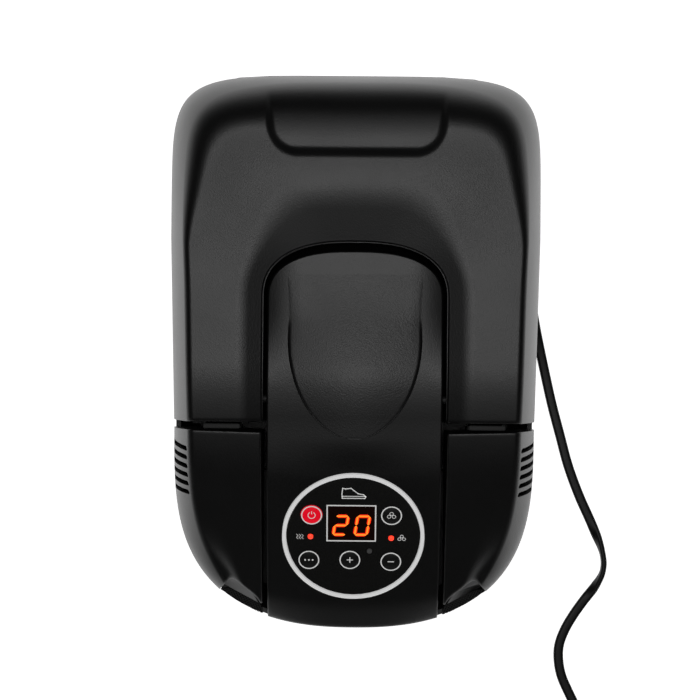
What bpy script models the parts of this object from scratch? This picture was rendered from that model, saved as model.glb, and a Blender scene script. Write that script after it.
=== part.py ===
"""A flat shoe dryer: a base tray, a lifting hood that covers two folding air nozzles, a fixed centre
spine with a round control panel, two vented front covers, the blower, heater and ozone unit inside,
and a mains cord. Metres, +Z up, +Y to the rear, +X to the right, origin under the middle of the body.
"""

import math

import bmesh
import bpy
from mathutils import Matrix, Vector

# ---------------------------------------------------------------- driving dimensions, in metres

# The outline of the body at its widest line
REAR_HALF_WIDTH = 0.100
SPLIT_HALF_WIDTH = 0.0975  # at the split between the hood and the front covers
HALF_LENGTH = 0.1504
REAR_TURN_Y = 0.060  # where the sides start to turn in to the rear
SPLIT_Y = -0.043
REAR_POWERS = (5.4, 6.6)  # across, along
FRONT_POWERS = (2.4, 3.2)

# Heights
TOP_Z = 0.110
WIDEST_Z = 0.0490  # underside of the hood and the covers
RIM_Z = 0.0484  # top of the tray's rim
FLOOR_Z = 0.003  # underside of the tray
SLOPE = math.radians(25)  # of the control panel
SLOPE_START_Y = -0.006
SLOPE_FULL_Y = -0.068

# Walls and gaps
WALL = 0.0024
TOUCH = 0.0003  # between pieces that rest on each other
FIT = 0.0004  # around a pin or a seated piece

# The upper edge of the body: how far in from the widest line, its radius and its drop below the ridge
SIDE_EDGE = (0.0086, 0.0036, 0.0026)
REAR_EDGE = (0.0050, 0.0290, 0.0010)
CROWN = (0.0002, 0.0008)  # at the sides and at the rear
DISH_SIDE = (0.0030, 0.014)  # depth and width of the dip beside the spine
DISH_REAR = (0.0066, 0.034)

# The hood's opening around the spine
MOUTH_HALF = 0.0487
MOUTH_TURN_Y = 0.0268
MOUTH_REAR_Y = 0.0573
LIP = 0.008  # depth of the mouth's inner edge
HOOD_FRONT_Y = -0.0374
GRIP_HALF = 0.0455
GRIP_Y = (0.1003, 0.122)
GRIP_DEPTH = 0.0025

# The front covers
COVER_REAR_Y = (-0.0418, -0.0427)  # at the side and at the spine
VENT_COUNT = 6
VENT_PITCH = 0.0047
VENT_FIRST_Y = -0.0520
VENT_WIDTH = 0.0026
VENT_DROP = (0.0435, 0.0110)  # foot and head of a slot below the ridge
VENT_LEAN = 0.10
GRILLE_OUT_Y = -0.1300  # where each corner grille starts on the outline
GRILLE_DEPTH = 0.0045

# The spine
SPINE_HALF = 0.0455
SPINE_REAR_Y = 0.0523
SPINE_DROP = (0.0060, 0.0030)  # below the ridge at the rear and at the panel
SPINE_BASE_Z = 0.0479
FRONT_ROUND = 0.016
PAD_HALF = 0.0352
PAD_FRONT_Y = -0.0464
PAD_TURN_Y = 0.0064
PAD_REAR_Y = 0.0400
PAD_RISE = (0.0020, 0.0046)  # of the raised pad at the rear and at its front tip

# The control panel, in its own tilted plane
PANEL_Y = -0.0989
RING_R = 0.0379
RING_BAND = 0.0021
FASCIA_T = 0.0024
# Sizes and places inside the ring, as shares of its radius
DISPLAY = (0.686, 0.570)
DISPLAY_AT = (-0.029, 0.216)
KEY = 0.148
KEYS = {
    "on_off": (-0.586, 0.346),
    "ozone": (0.533, 0.348),
    "preset": (-0.623, -0.372),
    "time_up": (-0.045, -0.367),
    "time_down": (0.533, -0.391),
}
LED = 0.037
LEDS = {"dry": (-0.602, -0.005), "ozone": (0.533, -0.021)}
SENSOR_AT = (0.230, -0.230)
BOARD_DEPTH = 1.19
CARRIER = (0.0040, 0.0004)  # its inner and outer edges, in from the ring's radius
RAIL = (0.0070, 0.016)
BOARD_T = 0.0016
BOARD_DROP = 0.0082  # the board's upper face below the panel's face

# Joints
HINGE_Y = -0.0254
HINGE_DROP = 0.016
HINGE_Z = TOP_Z - HINGE_DROP
HINGE_R = 0.0020
NOZZLE_X = 0.0700
NOZZLE_PIVOT_Y = -0.0310
NOZZLE_PIVOT_Z = 0.067
DRUM_R = 0.0092
DRUM_LENGTH = 0.018
PIN_R = 0.0024
NOZZLE_END_Y = 0.104
NOZZLE_HALF = (0.0085, 0.0148)  # half width at the drum and near the mouth
NOZZLE_THICK = (0.0075, 0.0095)  # half height, likewise
NOZZLE_WALL = 0.0018

# The deck under the hood, and what stands on the floor
DECK_Z = (0.0450, 0.0476)
DECK_INSET = 0.0052
FOOT_R = 0.009
FOOT_AT = (0.066, 0.105)
SCREW_AT = (0.074, 0.060)
BLOWER_Y = -0.002
BLOWER_R = 0.042
BLOWER_Z = (0.009, 0.040)
MOTOR_R = 0.0165

# The mains cord, a flat twin lead
CORD_R = 0.00175
COIL_AT = (0.1055, -0.2440)
COIL_R = (0.0222, 0.0428)
COIL_HEIGHT = 0.0074
GLAND_TIP = Vector((0.0972, 0.0400, 0.0100))
GLAND_AIM = Vector((0.126, -0.990, -0.060)).normalized()
GLAND_LENGTH = 0.024
GLAND_R = (0.0036, 0.0046, 0.0038, 0.0026)  # shank, collar, cone at the collar, cone at the tip
PLUG_AT = Vector((0.0375, -0.2510, 0.0069))
ROUTE = [
    (0.0972, 0.0400, 0.0100), (0.0987, 0.0290, 0.0088), (0.1009, 0.0170, 0.0058), (0.1037, 0.0042, 0.0030),
    (0.1075, -0.0127, 0.0020), (0.1114, -0.0295, 0.0020), (0.1160, -0.0464, 0.0020), (0.1207, -0.0634, 0.0020),
    (0.1270, -0.0802, 0.0020), (0.1346, -0.0970, 0.0022), (0.1403, -0.1120, 0.0027), (0.1408, -0.1222, 0.0029),
    (0.1366, -0.1308, 0.0027), (0.1301, -0.1394, 0.0022), (0.1242, -0.1479, 0.0020), (0.1194, -0.1564, 0.0020),
    (0.1165, -0.1649, 0.0020), (0.1163, -0.1733, 0.0020), (0.1180, -0.1818, 0.0020), (0.1218, -0.1905, 0.0020),
    (0.1266, -0.2000, 0.0020), (0.1297, -0.2056, 0.0020),
]
TAIL = [
    (0.0664, -0.2666, 0.0036), (0.0610, -0.2624, 0.0038), (0.0546, -0.2574, 0.0050), (0.0468, -0.2532, 0.0062),
    (0.0378, -0.2511, 0.0069),
]

SIDES = (("left", -1), ("right", 1))

# ---------------------------------------------------------------- materials

LOOKS = {
    "black_plastic": ((0.018, 0.018, 0.019), 0.48, 0.0),
    "gloss_black": ((0.010, 0.010, 0.011), 0.15, 0.0),
    "dark_internal": ((0.05, 0.05, 0.055), 0.6, 0.0),
    "white_ring": ((0.80, 0.80, 0.79), 0.35, 0.0),
    "red_key": ((0.75, 0.03, 0.04), 0.4, 0.0),
    "red_window": ((0.10, 0.012, 0.010), 0.2, 0.0),
    "led_red": ((0.85, 0.06, 0.03), 0.3, 0.0),
    "grey_sensor": ((0.35, 0.35, 0.36), 0.3, 0.0),
    "rubber": ((0.02, 0.02, 0.02), 0.8, 0.0),
    "steel": ((0.55, 0.55, 0.56), 0.35, 1.0),
    "brass": ((0.78, 0.60, 0.28), 0.3, 1.0),
    "circuit_board": ((0.02, 0.16, 0.07), 0.5, 0.0),
    "ceramic": ((0.72, 0.70, 0.64), 0.7, 0.0),
    "copper": ((0.75, 0.36, 0.20), 0.35, 1.0),
    "cord_sheath": ((0.02, 0.02, 0.02), 0.5, 0.0),
}


def material(look):
    if look in bpy.data.materials:
        return bpy.data.materials[look]
    colour, roughness, metallic = LOOKS[look]
    made = bpy.data.materials.new(look)
    made.use_nodes = True
    shader = made.node_tree.nodes["Principled BSDF"]
    shader.inputs["Base Color"].default_value = (*colour, 1.0)
    shader.inputs["Roughness"].default_value = roughness
    shader.inputs["Metallic"].default_value = metallic
    return made


# ---------------------------------------------------------------- mesh helpers


def smooth(t):
    t = min(max(t, 0.0), 1.0)
    return t * t * (3 - 2 * t)


def mix(a, b, t):
    return a + (b - a) * t


def from_bmesh(name, bm, look=None, angle=32):
    """An object from a bmesh. With no look it is a cutter, which is not part of the model."""
    bmesh.ops.remove_doubles(bm, verts=bm.verts, dist=1e-7)
    bmesh.ops.recalc_face_normals(bm, faces=bm.faces)
    mesh = bpy.data.meshes.new(name)
    bm.to_mesh(mesh)
    bm.free()
    thing = bpy.data.objects.new(name, mesh)
    bpy.context.collection.objects.link(thing)
    if look is None:
        thing.hide_render = True
        thing.display_type = "WIRE"
    else:
        mesh.materials.append(material(look))
        mesh.shade_smooth()
        mesh.set_sharp_from_angle(angle=math.radians(angle))
    return thing


def box_mesh(bm, low, high):
    made = bmesh.ops.create_cube(bm, size=1.0)["verts"]
    for v in made:
        v.co = Vector([mix(low[k], high[k], v.co[k] + 0.5) for k in range(3)])
    return made


def rod_mesh(bm, start, end, r_start, r_end=None, sides=24):
    """A round rod or cone from one point to another."""
    start, end = Vector(start), Vector(end)
    along = end - start
    turn = along.to_track_quat("Z", "Y").to_matrix().to_4x4()
    return bmesh.ops.create_cone(
        bm, cap_ends=True, segments=sides, radius1=r_start, radius2=r_start if r_end is None else r_end,
        depth=along.length, matrix=Matrix.Translation((start + end) / 2) @ turn,
    )["verts"]


def prism_mesh(bm, outline, z0, z1):
    """A flat outline of (x, y) points, pulled up from z0 to z1."""
    face = bm.faces.new([bm.verts.new((x, y, z0)) for x, y in outline])
    top = bmesh.ops.extrude_face_region(bm, geom=[face])["geom"]
    for v in top:
        if isinstance(v, bmesh.types.BMVert):
            v.co.z = z1


def box(name, low, high, look=None):
    bm = bmesh.new()
    box_mesh(bm, low, high)
    return from_bmesh(name, bm, look)


def rod(name, start, end, radius, look=None, sides=24, r_end=None):
    bm = bmesh.new()
    rod_mesh(bm, start, end, radius, r_end, sides)
    return from_bmesh(name, bm, look)


def prism(name, outline, z0, z1, look=None):
    bm = bmesh.new()
    prism_mesh(bm, outline, z0, z1)
    return from_bmesh(name, bm, look)


def turned(name, profile, look=None, sides=32, place=None):
    """A closed (radius, height) profile turned about +Z, then put in place."""
    bm = bmesh.new()
    loops = []
    for i in range(sides):
        a = 2 * math.pi * i / sides
        loops.append([bm.verts.new((r * math.cos(a), r * math.sin(a), z)) for r, z in profile])
    for i in range(sides):
        a, b = loops[i], loops[(i + 1) % sides]
        for k in range(len(profile)):
            j = (k + 1) % len(profile)
            bm.faces.new((a[k], b[k], b[j], a[j]))
    bmesh.ops.remove_doubles(bm, verts=bm.verts, dist=1e-7)
    if place is not None:
        bmesh.ops.transform(bm, matrix=place, verts=bm.verts)
    return from_bmesh(name, bm, look)


def boolean(thing, other, operation):
    step = thing.modifiers.new(other.name, "BOOLEAN")
    step.operation = operation
    step.object = other
    step.solver = "EXACT"
    other.hide_render = True
    other.display_type = "WIRE"


def cut(thing, *cutters):
    for cutter in cutters:
        boolean(thing, cutter, "DIFFERENCE")


def add(thing, *others):
    for other in others:
        boolean(thing, other, "UNION")


def quads(bm, rows, closed=False):
    """Faces between rows of vertices."""
    n = len(rows)
    for i in range(n if closed else n - 1):
        a, b = rows[i], rows[(i + 1) % n]
        for k in range(len(a) - 1):
            corners = []
            for v in (a[k], b[k], b[k + 1], a[k + 1]):
                if v not in corners:
                    corners.append(v)
            if len(corners) > 2:
                bm.faces.new(corners)


def channel(name, outer, inner, look, walled):
    """A bent sheet with an outer and an inner skin. Its ends are walled, or left open as a channel."""
    bm = bmesh.new()
    out = [[bm.verts.new(p) for p in row] for row in outer]
    into = [[bm.verts.new(p) for p in row] for row in inner]
    quads(bm, out)
    quads(bm, into)
    for k in (0, -1):
        quads(bm, [[a[k], b[k]] for a, b in zip(out, into)])
    for i in (0, -1):
        if walled:
            bm.faces.new(out[i])
            bm.faces.new(into[i])
            bm.faces.new((out[i][0], out[i][-1], into[i][-1], into[i][0]))
        else:
            quads(bm, [out[i], into[i]])
    return from_bmesh(name, bm, look)


def cup(name, outer, inner, look):
    """A closed ring of rows from a rim to a core line, with an outer and an inner skin."""
    bm = bmesh.new()
    out = [[bm.verts.new(p) for p in row] for row in outer]
    into = [[bm.verts.new(p) for p in row] for row in inner]
    quads(bm, out, closed=True)
    quads(bm, into, closed=True)
    quads(bm, [[a[0], b[0]] for a, b in zip(out, into)], closed=True)
    bmesh.ops.remove_doubles(bm, verts=bm.verts, dist=1e-7)
    bmesh.ops.dissolve_degenerate(bm, dist=1e-7, edges=bm.edges)
    return from_bmesh(name, bm, look)


# ---------------------------------------------------------------- the shape of the body


def half_width(y):
    """Half the body's width at its widest line."""
    if y >= REAR_TURN_Y:
        u = min((y - REAR_TURN_Y) / (HALF_LENGTH - REAR_TURN_Y), 1.0)
        return REAR_HALF_WIDTH * (1 - u ** REAR_POWERS[1]) ** (1 / REAR_POWERS[0])
    if y >= SPLIT_Y:
        return mix(SPLIT_HALF_WIDTH, REAR_HALF_WIDTH, (y - SPLIT_Y) / (REAR_TURN_Y - SPLIT_Y))
    t = min((SPLIT_Y - y) / (SPLIT_Y + HALF_LENGTH), 1.0)
    return SPLIT_HALF_WIDTH * (1 - t ** FRONT_POWERS[1]) ** (1 / FRONT_POWERS[0])


def front_y(x):
    """Where the outline's front lies at this distance from the middle."""
    t = (1 - min(abs(x) / SPLIT_HALF_WIDTH, 1.0) ** FRONT_POWERS[0]) ** (1 / FRONT_POWERS[1])
    return SPLIT_Y - t * (SPLIT_Y + HALF_LENGTH)


def in_body(x, y):
    return abs(y) < HALF_LENGTH and abs(x) < half_width(y)


def in_mouth(x, y):
    """Inside the hood's opening around the spine."""
    v = max(y - MOUTH_TURN_Y, 0) / (MOUTH_REAR_Y - MOUTH_TURN_Y)
    return (abs(x) / MOUTH_HALF) ** 2.5 + v**2.5 < 1


def in_spine(x, y):
    v = max(y - MOUTH_TURN_Y, 0) / (SPINE_REAR_Y - MOUTH_TURN_Y)
    return (abs(x) / SPINE_HALF) ** (2.5 if y > MOUTH_TURN_Y else 60) + v**2.5 < 1 and y > front_y(x)


def hit(inside, core, aim):
    """The last point inside a shape along a ray from its core."""
    low, high = 0.0, 0.3
    for _ in range(40):
        middle = (low + high) / 2
        if inside(core[0] + aim[0] * middle, core[1] + aim[1] * middle):
            low = middle
        else:
            high = middle
    return (core[0] + aim[0] * low, core[1] + aim[1] * low)


def rays(rear_y, front_end_y, side_steps, rear_steps, front_steps=0):
    """Rays from a core line on x = 0: up the right side, round the rear, down the left side, and round
    the front where front_steps is set. Each is (core, aim)."""
    made = []
    for i in range(side_steps):
        made.append(((0.0, mix(front_end_y, rear_y, i / side_steps)), (1.0, 0.0)))
    for i in range(rear_steps + 1):
        a = math.pi * i / rear_steps
        made.append(((0.0, rear_y), (math.cos(a), math.sin(a))))
    for i in range(1, side_steps + 1):
        made.append(((0.0, mix(rear_y, front_end_y, i / side_steps)), (-1.0, 0.0)))
    for i in range(1, front_steps):
        a = math.pi * (1 + i / front_steps)
        made.append(((0.0, front_end_y), (math.cos(a), math.sin(a))))
    return made


def normal_at(x, y):
    """The outline's outward direction in plan near a point on it."""
    step = 0.0004
    if abs(y) > HALF_LENGTH - step:
        return (0.0, math.copysign(1.0, y))
    slope = (half_width(y + step) - half_width(y - step)) / (2 * step)
    size = math.hypot(1, slope)
    return (math.copysign(1 / size, x), -slope / size)


def ridge(y):
    """Height of the body's upper surface before its dips and drops."""
    if y > SLOPE_START_Y:
        return TOP_Z
    run = SLOPE_START_Y - SLOPE_FULL_Y
    bend = min(SLOPE_START_Y - y, run)
    past = max(SLOPE_FULL_Y - y, 0.0)
    return TOP_Z - math.tan(SLOPE) * (bend * bend / (2 * run) + past)


def edge_form(y, ny):
    """Inset, radius and height of the upper edge at a place on the outline."""
    rear = smooth((ny - 0.15) / 0.7)
    inset, radius, drop = [mix(a, b, rear) for a, b in zip(SIDE_EDGE, REAR_EDGE)]
    if y < SPLIT_Y:
        t = min((SPLIT_Y - y) / 0.090, 1.0)
        inset = mix(0.0012, SIDE_EDGE[0], (1 - t**4) ** 0.6)
        drop = mix(SIDE_EDGE[2], SPINE_DROP[1], smooth((SPLIT_Y - y) / 0.03))
    return inset, radius, ridge(y) - drop


def wall_profile(y, ny, base_z, steps=5, thickness=0.0):
    """(inset, height) up the side wall: one long arc, then the rounded upper edge."""
    inset, radius, top = edge_form(y, ny)
    radius = max(radius - thickness, 0.0004)
    top -= thickness
    rise, run = top - WIDEST_Z, inset + radius
    low, high = 0.01, 1.5
    for _ in range(50):
        lean = (low + high) / 2
        long_r = (rise - radius * (1 - math.sin(lean))) / math.sin(lean)
        reach = long_r * (1 - math.cos(lean)) + radius * math.cos(lean)
        low, high = (lean, high) if reach < run else (low, lean)
    points = []
    for i in range(steps):
        a = lean * i / (steps - 1)
        z = WIDEST_Z + long_r * math.sin(a)
        points.append((thickness + long_r * (1 - math.cos(a)), max(z, base_z)))
    start = points[-1]
    for i in range(1, steps):
        a = mix(lean, math.pi / 2, i / (steps - 1))
        points.append((
            start[0] + radius * (math.cos(lean) - math.cos(a)),
            start[1] + radius * (math.sin(a) - math.sin(lean)),
        ))
    return points


def hood_rim(y):
    """Underside of the hood, lifted near its front end so that it clears the tray as it turns."""
    reach = HINGE_Z - RIM_Z - 0.0006
    ahead = min(y - HINGE_Y, 0.0)
    return max(WIDEST_Z, HINGE_Z - math.sqrt(reach**2 - ahead**2))


def top_row(start, end, edge_z, y_rear, thickness, steps):
    """Points across the hood's upper face, from its rounded edge to the mouth."""
    gain = mix(*CROWN, y_rear)
    depth, width = [mix(a, b, y_rear) for a, b in zip(DISH_SIDE, DISH_REAR)]
    span = math.hypot(end[0] - start[0], end[1] - start[1])
    base = ridge(start[1])
    row = []
    for i in range(1, steps + 1):
        w = 1 - (1 - i / steps) ** 1.3
        x, y = mix(start[0], end[0], w), mix(start[1], end[1], w)
        dip = depth * (1 - smooth(span * (1 - w) / width))
        z = edge_z + ridge(y) - base + gain * smooth(w / 0.55) - dip
        if thickness:
            z -= 1.3 * GRIP_DEPTH * smooth((0.066 - abs(x)) / 0.012) * smooth((y - 0.088) / 0.010)
        row.append((x, y, z))
    return row


def hood_row(core, aim, thickness):
    x, y = hit(in_body, core, aim)
    if y < HOOD_FRONT_Y:
        y = HOOD_FRONT_Y
    nx, ny = normal_at(x, y)
    profile = wall_profile(y, ny, hood_rim(y), thickness=thickness)
    row = [(x - nx * d, y - ny * d, z) for d, z in profile]
    end = hit(in_mouth, core, aim)
    away = Vector((row[-1][0] - end[0], row[-1][1] - end[1])).normalized() * thickness
    end = (end[0] + away.x, end[1] + away.y)
    row += top_row(row[-1], end, row[-1][2], smooth((ny - 0.15) / 0.7), thickness, 7)
    lip_z = row[-1][2] + thickness - LIP
    row.append((row[-1][0], row[-1][1], lip_z))
    return row


def make_hood():
    places = rays(MOUTH_TURN_Y, HOOD_FRONT_Y, 5, 28)
    outer = [hood_row(core, aim, 0.0) for core, aim in places]
    inner = [hood_row(core, aim, WALL) for core, aim in places]
    hood = channel("hood_shell", outer, inner, "black_plastic", walled=False)
    grip = prism(
        "grip_cutter",
        [(-GRIP_HALF - 0.006, HALF_LENGTH), (-GRIP_HALF - 0.006, GRIP_Y[1]), (-GRIP_HALF, GRIP_Y[0] + 0.008),
         (-GRIP_HALF + 0.009, GRIP_Y[0]), (GRIP_HALF - 0.009, GRIP_Y[0]), (GRIP_HALF, GRIP_Y[0] + 0.008),
         (GRIP_HALF + 0.006, GRIP_Y[1]), (GRIP_HALF + 0.006, HALF_LENGTH)],
        TOP_Z - GRIP_DEPTH, TOP_Z + 0.02,
    )
    cut(hood, grip)
    cut(hood, rod("hood_pin_cutter", (-0.06, HINGE_Y, HINGE_Z), (0.06, HINGE_Y, HINGE_Z), HINGE_R + FIT))


def cover_top(x, y, edge_x, edge_z):
    """Height of a front cover between its rounded edge and the spine."""
    w = (edge_x - abs(x)) / max(edge_x - MOUTH_HALF, 1e-6)
    target = ridge(y) - SPINE_DROP[1]
    return mix(edge_z, target, smooth(w / 0.5))


def cover_row(side, t, thickness):
    """One cross-section of a front cover, from the outer wall over the top and down beside the spine."""
    shift = thickness * (1 if t == 0 else -1 if t == 1 else 0)
    outer_y = mix(COVER_REAR_Y[0], GRILLE_OUT_Y, t) - shift
    inner_y = mix(COVER_REAR_Y[1], GRILLE_END_Y, t) - shift
    x = side * half_width(outer_y)
    nx, ny = normal_at(x, outer_y)
    if t < 0.7:
        nx, ny = float(side), 0.0
    profile = wall_profile(outer_y, 0.0, WIDEST_Z, thickness=thickness)
    row = [(x - nx * d, outer_y - ny * d, z) for d, z in profile]
    start = row[-1]
    end_x = side * (MOUTH_HALF + thickness)
    steps = 5
    for i in range(1, steps + 1):
        w = i / steps
        px, py = mix(start[0], end_x, w), mix(start[1], inner_y, w)
        row.append((px, py, cover_top(px, py, abs(start[0]), start[2] + ridge(py) - ridge(start[1]))))
        if thickness:
            row[-1] = (px, py, row[-1][2] - thickness * smooth(w * 4))
    row.append((end_x, inner_y, WIDEST_Z))
    return row


def vent_cutter(side):
    """Slots through the side wall, as leaning capsules pushed through it."""
    bm = bmesh.new()
    r = VENT_WIDTH / 2
    for i in range(VENT_COUNT):
        y = VENT_FIRST_Y - VENT_PITCH * i
        low, high = [ridge(y) - drop for drop in VENT_DROP]
        outline = []
        for k in range(12):
            a = math.pi * 2 * k / 12 + math.pi / 12
            z = (high - r if math.sin(a) > 0 else low + r) + r * math.sin(a)
            outline.append((y + r * math.cos(a) + VENT_LEAN * (high - z), z))
        made = bmesh.new()
        prism_mesh(made, outline, 0.080, 0.104)
        for v in made.verts:
            v.co = Vector((side * v.co.z, v.co.x, v.co.y))
        bmesh.ops.recalc_face_normals(made, faces=made.faces)
        temp = bpy.data.meshes.new("slot")
        made.to_mesh(temp)
        made.free()
        bm.from_mesh(temp)
        bpy.data.meshes.remove(temp)
    return from_bmesh(f"vent_cutter_{side}", bm)


# The corner grilles end beside the spine a little short of the outline
GRILLE_END_Y = front_y(MOUTH_HALF) + GRILLE_DEPTH


def make_covers():
    for word, side in SIDES:
        ts = [i / 9 for i in range(10)]
        cover = channel(
            f"{word}_front_cover",
            [cover_row(side, t, 0.0) for t in ts],
            [cover_row(side, t, WALL) for t in ts],
            "black_plastic", walled=True,
        )
        cut(cover, vent_cutter(side))
        # The grille fills the corner between the cover's front edge, the outline and the spine
        start = Vector((half_width(GRILLE_OUT_Y), GRILLE_OUT_Y))
        stop = Vector((MOUTH_HALF, GRILLE_END_Y))
        ahead = (stop - start).normalized()
        out = Vector((ahead.y, -ahead.x)) * 0.0006
        if out.y > 0:
            out = -out
        outline = [start + out + ahead * 0.002, stop + out]
        for i in range(6):
            px = mix(MOUTH_HALF, half_width(GRILLE_OUT_Y), i / 6)
            outline.append(Vector((px, front_y(px) + 0.0008)))
        prism(
            f"{word}_corner_grille", [(side * p.x, p.y) for p in outline], WIDEST_Z, WIDEST_Z + 0.0075,
            "black_plastic",
        )


def spine_top(x, y):
    """Height of the spine's face: the ridge less its drop, rounded down to the outline at the front."""
    face = ridge(y) - mix(SPINE_DROP[0], SPINE_DROP[1], smooth((-0.035 - y) / 0.035))
    base = WIDEST_Z + 0.002
    ahead = min(max(y - front_y(x), 0.0) / FRONT_ROUND, 1.0)
    return base + (face - base) * math.sqrt(max(1 - (1 - ahead) ** 2, 0.0))


def spine_row(core, aim, thickness):
    x, y = hit(in_spine, core, aim)
    away = Vector((x - core[0], y - core[1]))
    size = away.length
    pull = away * ((size - thickness) / size)
    rim = (core[0] + pull.x, core[1] + pull.y)
    low = SPINE_BASE_Z if y > HOOD_FRONT_Y - 0.02 else WIDEST_Z
    row = [(rim[0], rim[1], low)]
    edge_r = 0.0012
    for share in (0.0, 0.012, 0.035, 0.08, 0.16, 0.30, 0.55, 0.8, 1.0):
        px, py = mix(rim[0], core[0], share), mix(rim[1], core[1], share)
        drop = edge_r if share == 0 else 0.0
        row.append((px, py, max(spine_top(px, py) - thickness - drop, low + 0.0004)))
    return row


def make_spine():
    places = rays(MOUTH_TURN_Y, -0.118, 14, 14, 14)
    spine = cup(
        "centre_spine",
        [spine_row(core, aim, 0.0) for core, aim in places],
        [spine_row(core, aim, WALL) for core, aim in places],
        "black_plastic",
    )
    cut(spine, rod("spine_pin_cutter", (-0.06, HINGE_Y, HINGE_Z), (0.06, HINGE_Y, HINGE_Z), HINGE_R + FIT))
    seat = turned("panel_seat_cutter", [(0, -0.012), (RING_R + FIT, -0.012), (RING_R + FIT, 0.02), (0, 0.02)],
                  sides=48, place=PANEL)
    cut(spine, seat)
    return spine


def make_pad():
    """The raised, rounded pad on the spine, ending in a half-ellipse towards the panel."""
    bm = bmesh.new()
    rows = []
    count = 24
    for i in range(count + 1):
        y = mix(PAD_REAR_Y, PAD_FRONT_Y + 0.0001, 1 - (1 - i / count) ** 1.6)
        t = max(PAD_TURN_Y - y, 0.0) / (PAD_TURN_Y - PAD_FRONT_Y)
        w = PAD_HALF * max(1 - t**2, 0.0) ** (1 / 1.9)
        rear = max(y - MOUTH_TURN_Y, 0.0) / (SPINE_REAR_Y - 0.0015 - MOUTH_TURN_Y)
        w = min(w, (SPINE_HALF - 0.002) * max(1 - rear**2.5, 0.0) ** 0.4)
        rise = mix(PAD_RISE[0], PAD_RISE[1], smooth((PAD_REAR_Y - y) / (PAD_REAR_Y - PAD_FRONT_Y)))
        row_top, row_low = [], []
        for k in range(9):
            x = w * math.sin(math.pi / 2 * (k / 4 - 1))
            crown = 0.0006 * (x / PAD_HALF) ** 2
            edge = 0.0006 if k in (0, 8) else 0.0
            base = spine_top(x, y)
            row_top.append(bm.verts.new((x, y, base + rise - crown - edge)))
            row_low.append(bm.verts.new((x, y, base + TOUCH)))
        rows.append(row_top + row_low[::-1])
    n = len(rows[0])
    for a, b in zip(rows, rows[1:]):
        for k in range(n):
            j = (k + 1) % n
            bm.faces.new((a[k], b[k], b[j], a[j]))
    bm.faces.new(rows[0])
    bm.faces.new(rows[-1])
    from_bmesh("spine_pad", bm, "black_plastic")


# ---------------------------------------------------------------- the control panel

PANEL = (
    Matrix.Translation((0.0, PANEL_Y, ridge(PANEL_Y) - SPINE_DROP[1])) @ Matrix.Rotation(SLOPE, 4, "X")
)


def on_panel(u, v, w):
    return PANEL @ Vector((u, v, w))


def panel_rod(name, at, low, high, radius, look=None, sides=24):
    return rod(name, on_panel(*at, low), on_panel(*at, high), radius, look, sides)


def panel_box(name, at, size, low, high, look=None):
    bm = bmesh.new()
    box_mesh(bm, (at[0] - size[0] / 2, at[1] - size[1] / 2, low), (at[0] + size[0] / 2, at[1] + size[1] / 2, high))
    bmesh.ops.transform(bm, matrix=PANEL, verts=bm.verts)
    return from_bmesh(name, bm, look)


def in_ring(*shares):
    """Shares of the ring's radius as lengths."""
    return tuple(RING_R * share for share in shares)


def make_panel():
    inner = RING_R - RING_BAND
    turned("panel_ring", [(inner, -FASCIA_T), (RING_R, -FASCIA_T), (RING_R, 0.0004), (RING_R - 0.0005, 0.0009),
                          (inner + 0.0005, 0.0009), (inner, 0.0004)], "white_ring", 48, PANEL)
    fascia = turned("panel_fascia", [(0, -FASCIA_T), (inner - TOUCH, -FASCIA_T), (inner - TOUCH, 0.0), (0, 0.0)],
                    "gloss_black", 48, PANEL)
    key_r, led_r = in_ring(KEY, LED)
    for name, shares in KEYS.items():
        at = in_ring(*shares)
        cut(fascia, panel_rod(f"{name}_cutter", at, -0.01, 0.01, key_r + TOUCH))
        turned(
            f"{name}_key",
            [(0, -0.0046), (0.0016, -0.0046), (0.0016, -0.0036), (key_r + 0.0005, -0.0036),
             (key_r + 0.0005, -0.0028), (key_r, -0.0028), (key_r, 0.0001), (key_r - 0.0004, 0.0005), (0, 0.0005)],
            "red_key" if name == "on_off" else "gloss_black", 24, PANEL @ Matrix.Translation((*at, 0)),
        )
    for name, shares in LEDS.items():
        at = in_ring(*shares)
        cut(fascia, panel_rod(f"{name}_led_cutter", at, -0.01, 0.01, led_r + TOUCH))
        panel_rod(f"{name}_led", at, -BOARD_DROP + TOUCH, 0.0004, led_r, "led_red", 16)
    at = in_ring(*SENSOR_AT)
    cut(fascia, panel_rod("sensor_cutter", at, -0.01, 0.01, led_r + TOUCH))
    panel_rod("light_sensor", at, -BOARD_DROP + TOUCH, 0.0002, led_r, "grey_sensor", 16)
    gap = 2 * TOUCH
    wide, deep = in_ring(*DISPLAY)
    at = in_ring(*DISPLAY_AT)
    cut(fascia, panel_box("display_cutter", at, (wide + gap, deep + gap), -0.01, 0.01))
    panel_box("display_window", at, (wide, deep), -FASCIA_T, 0.0001, "red_window")
    panel_box("display_module", at, (wide - 0.002, deep - 0.001), -BOARD_DROP + TOUCH, -FASCIA_T - TOUCH,
              "dark_internal")
    # The carrier is a ring under the fascia, with two rails that hold the board
    low, high = RING_R - CARRIER[0], RING_R - CARRIER[1]
    carrier = turned(
        "panel_carrier", [(low, -0.0060), (high, -0.0060), (high, -FASCIA_T - TOUCH), (low, -FASCIA_T - TOUCH)],
        "dark_internal", 48, PANEL,
    )
    rail_u = high - 0.0010 - RAIL[0] / 2
    for word, side in SIDES:
        add(carrier, panel_box(f"{word}_rail", (side * rail_u, 0.0), RAIL, -BOARD_DROP - BOARD_T, -0.0040))
    board = (2 * (rail_u - RAIL[0] / 2 - TOUCH), *in_ring(BOARD_DEPTH))
    panel_box("control_board", (0, 0), board, -BOARD_DROP - BOARD_T, -BOARD_DROP, "circuit_board")


# ---------------------------------------------------------------- tray, deck and feet


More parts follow.
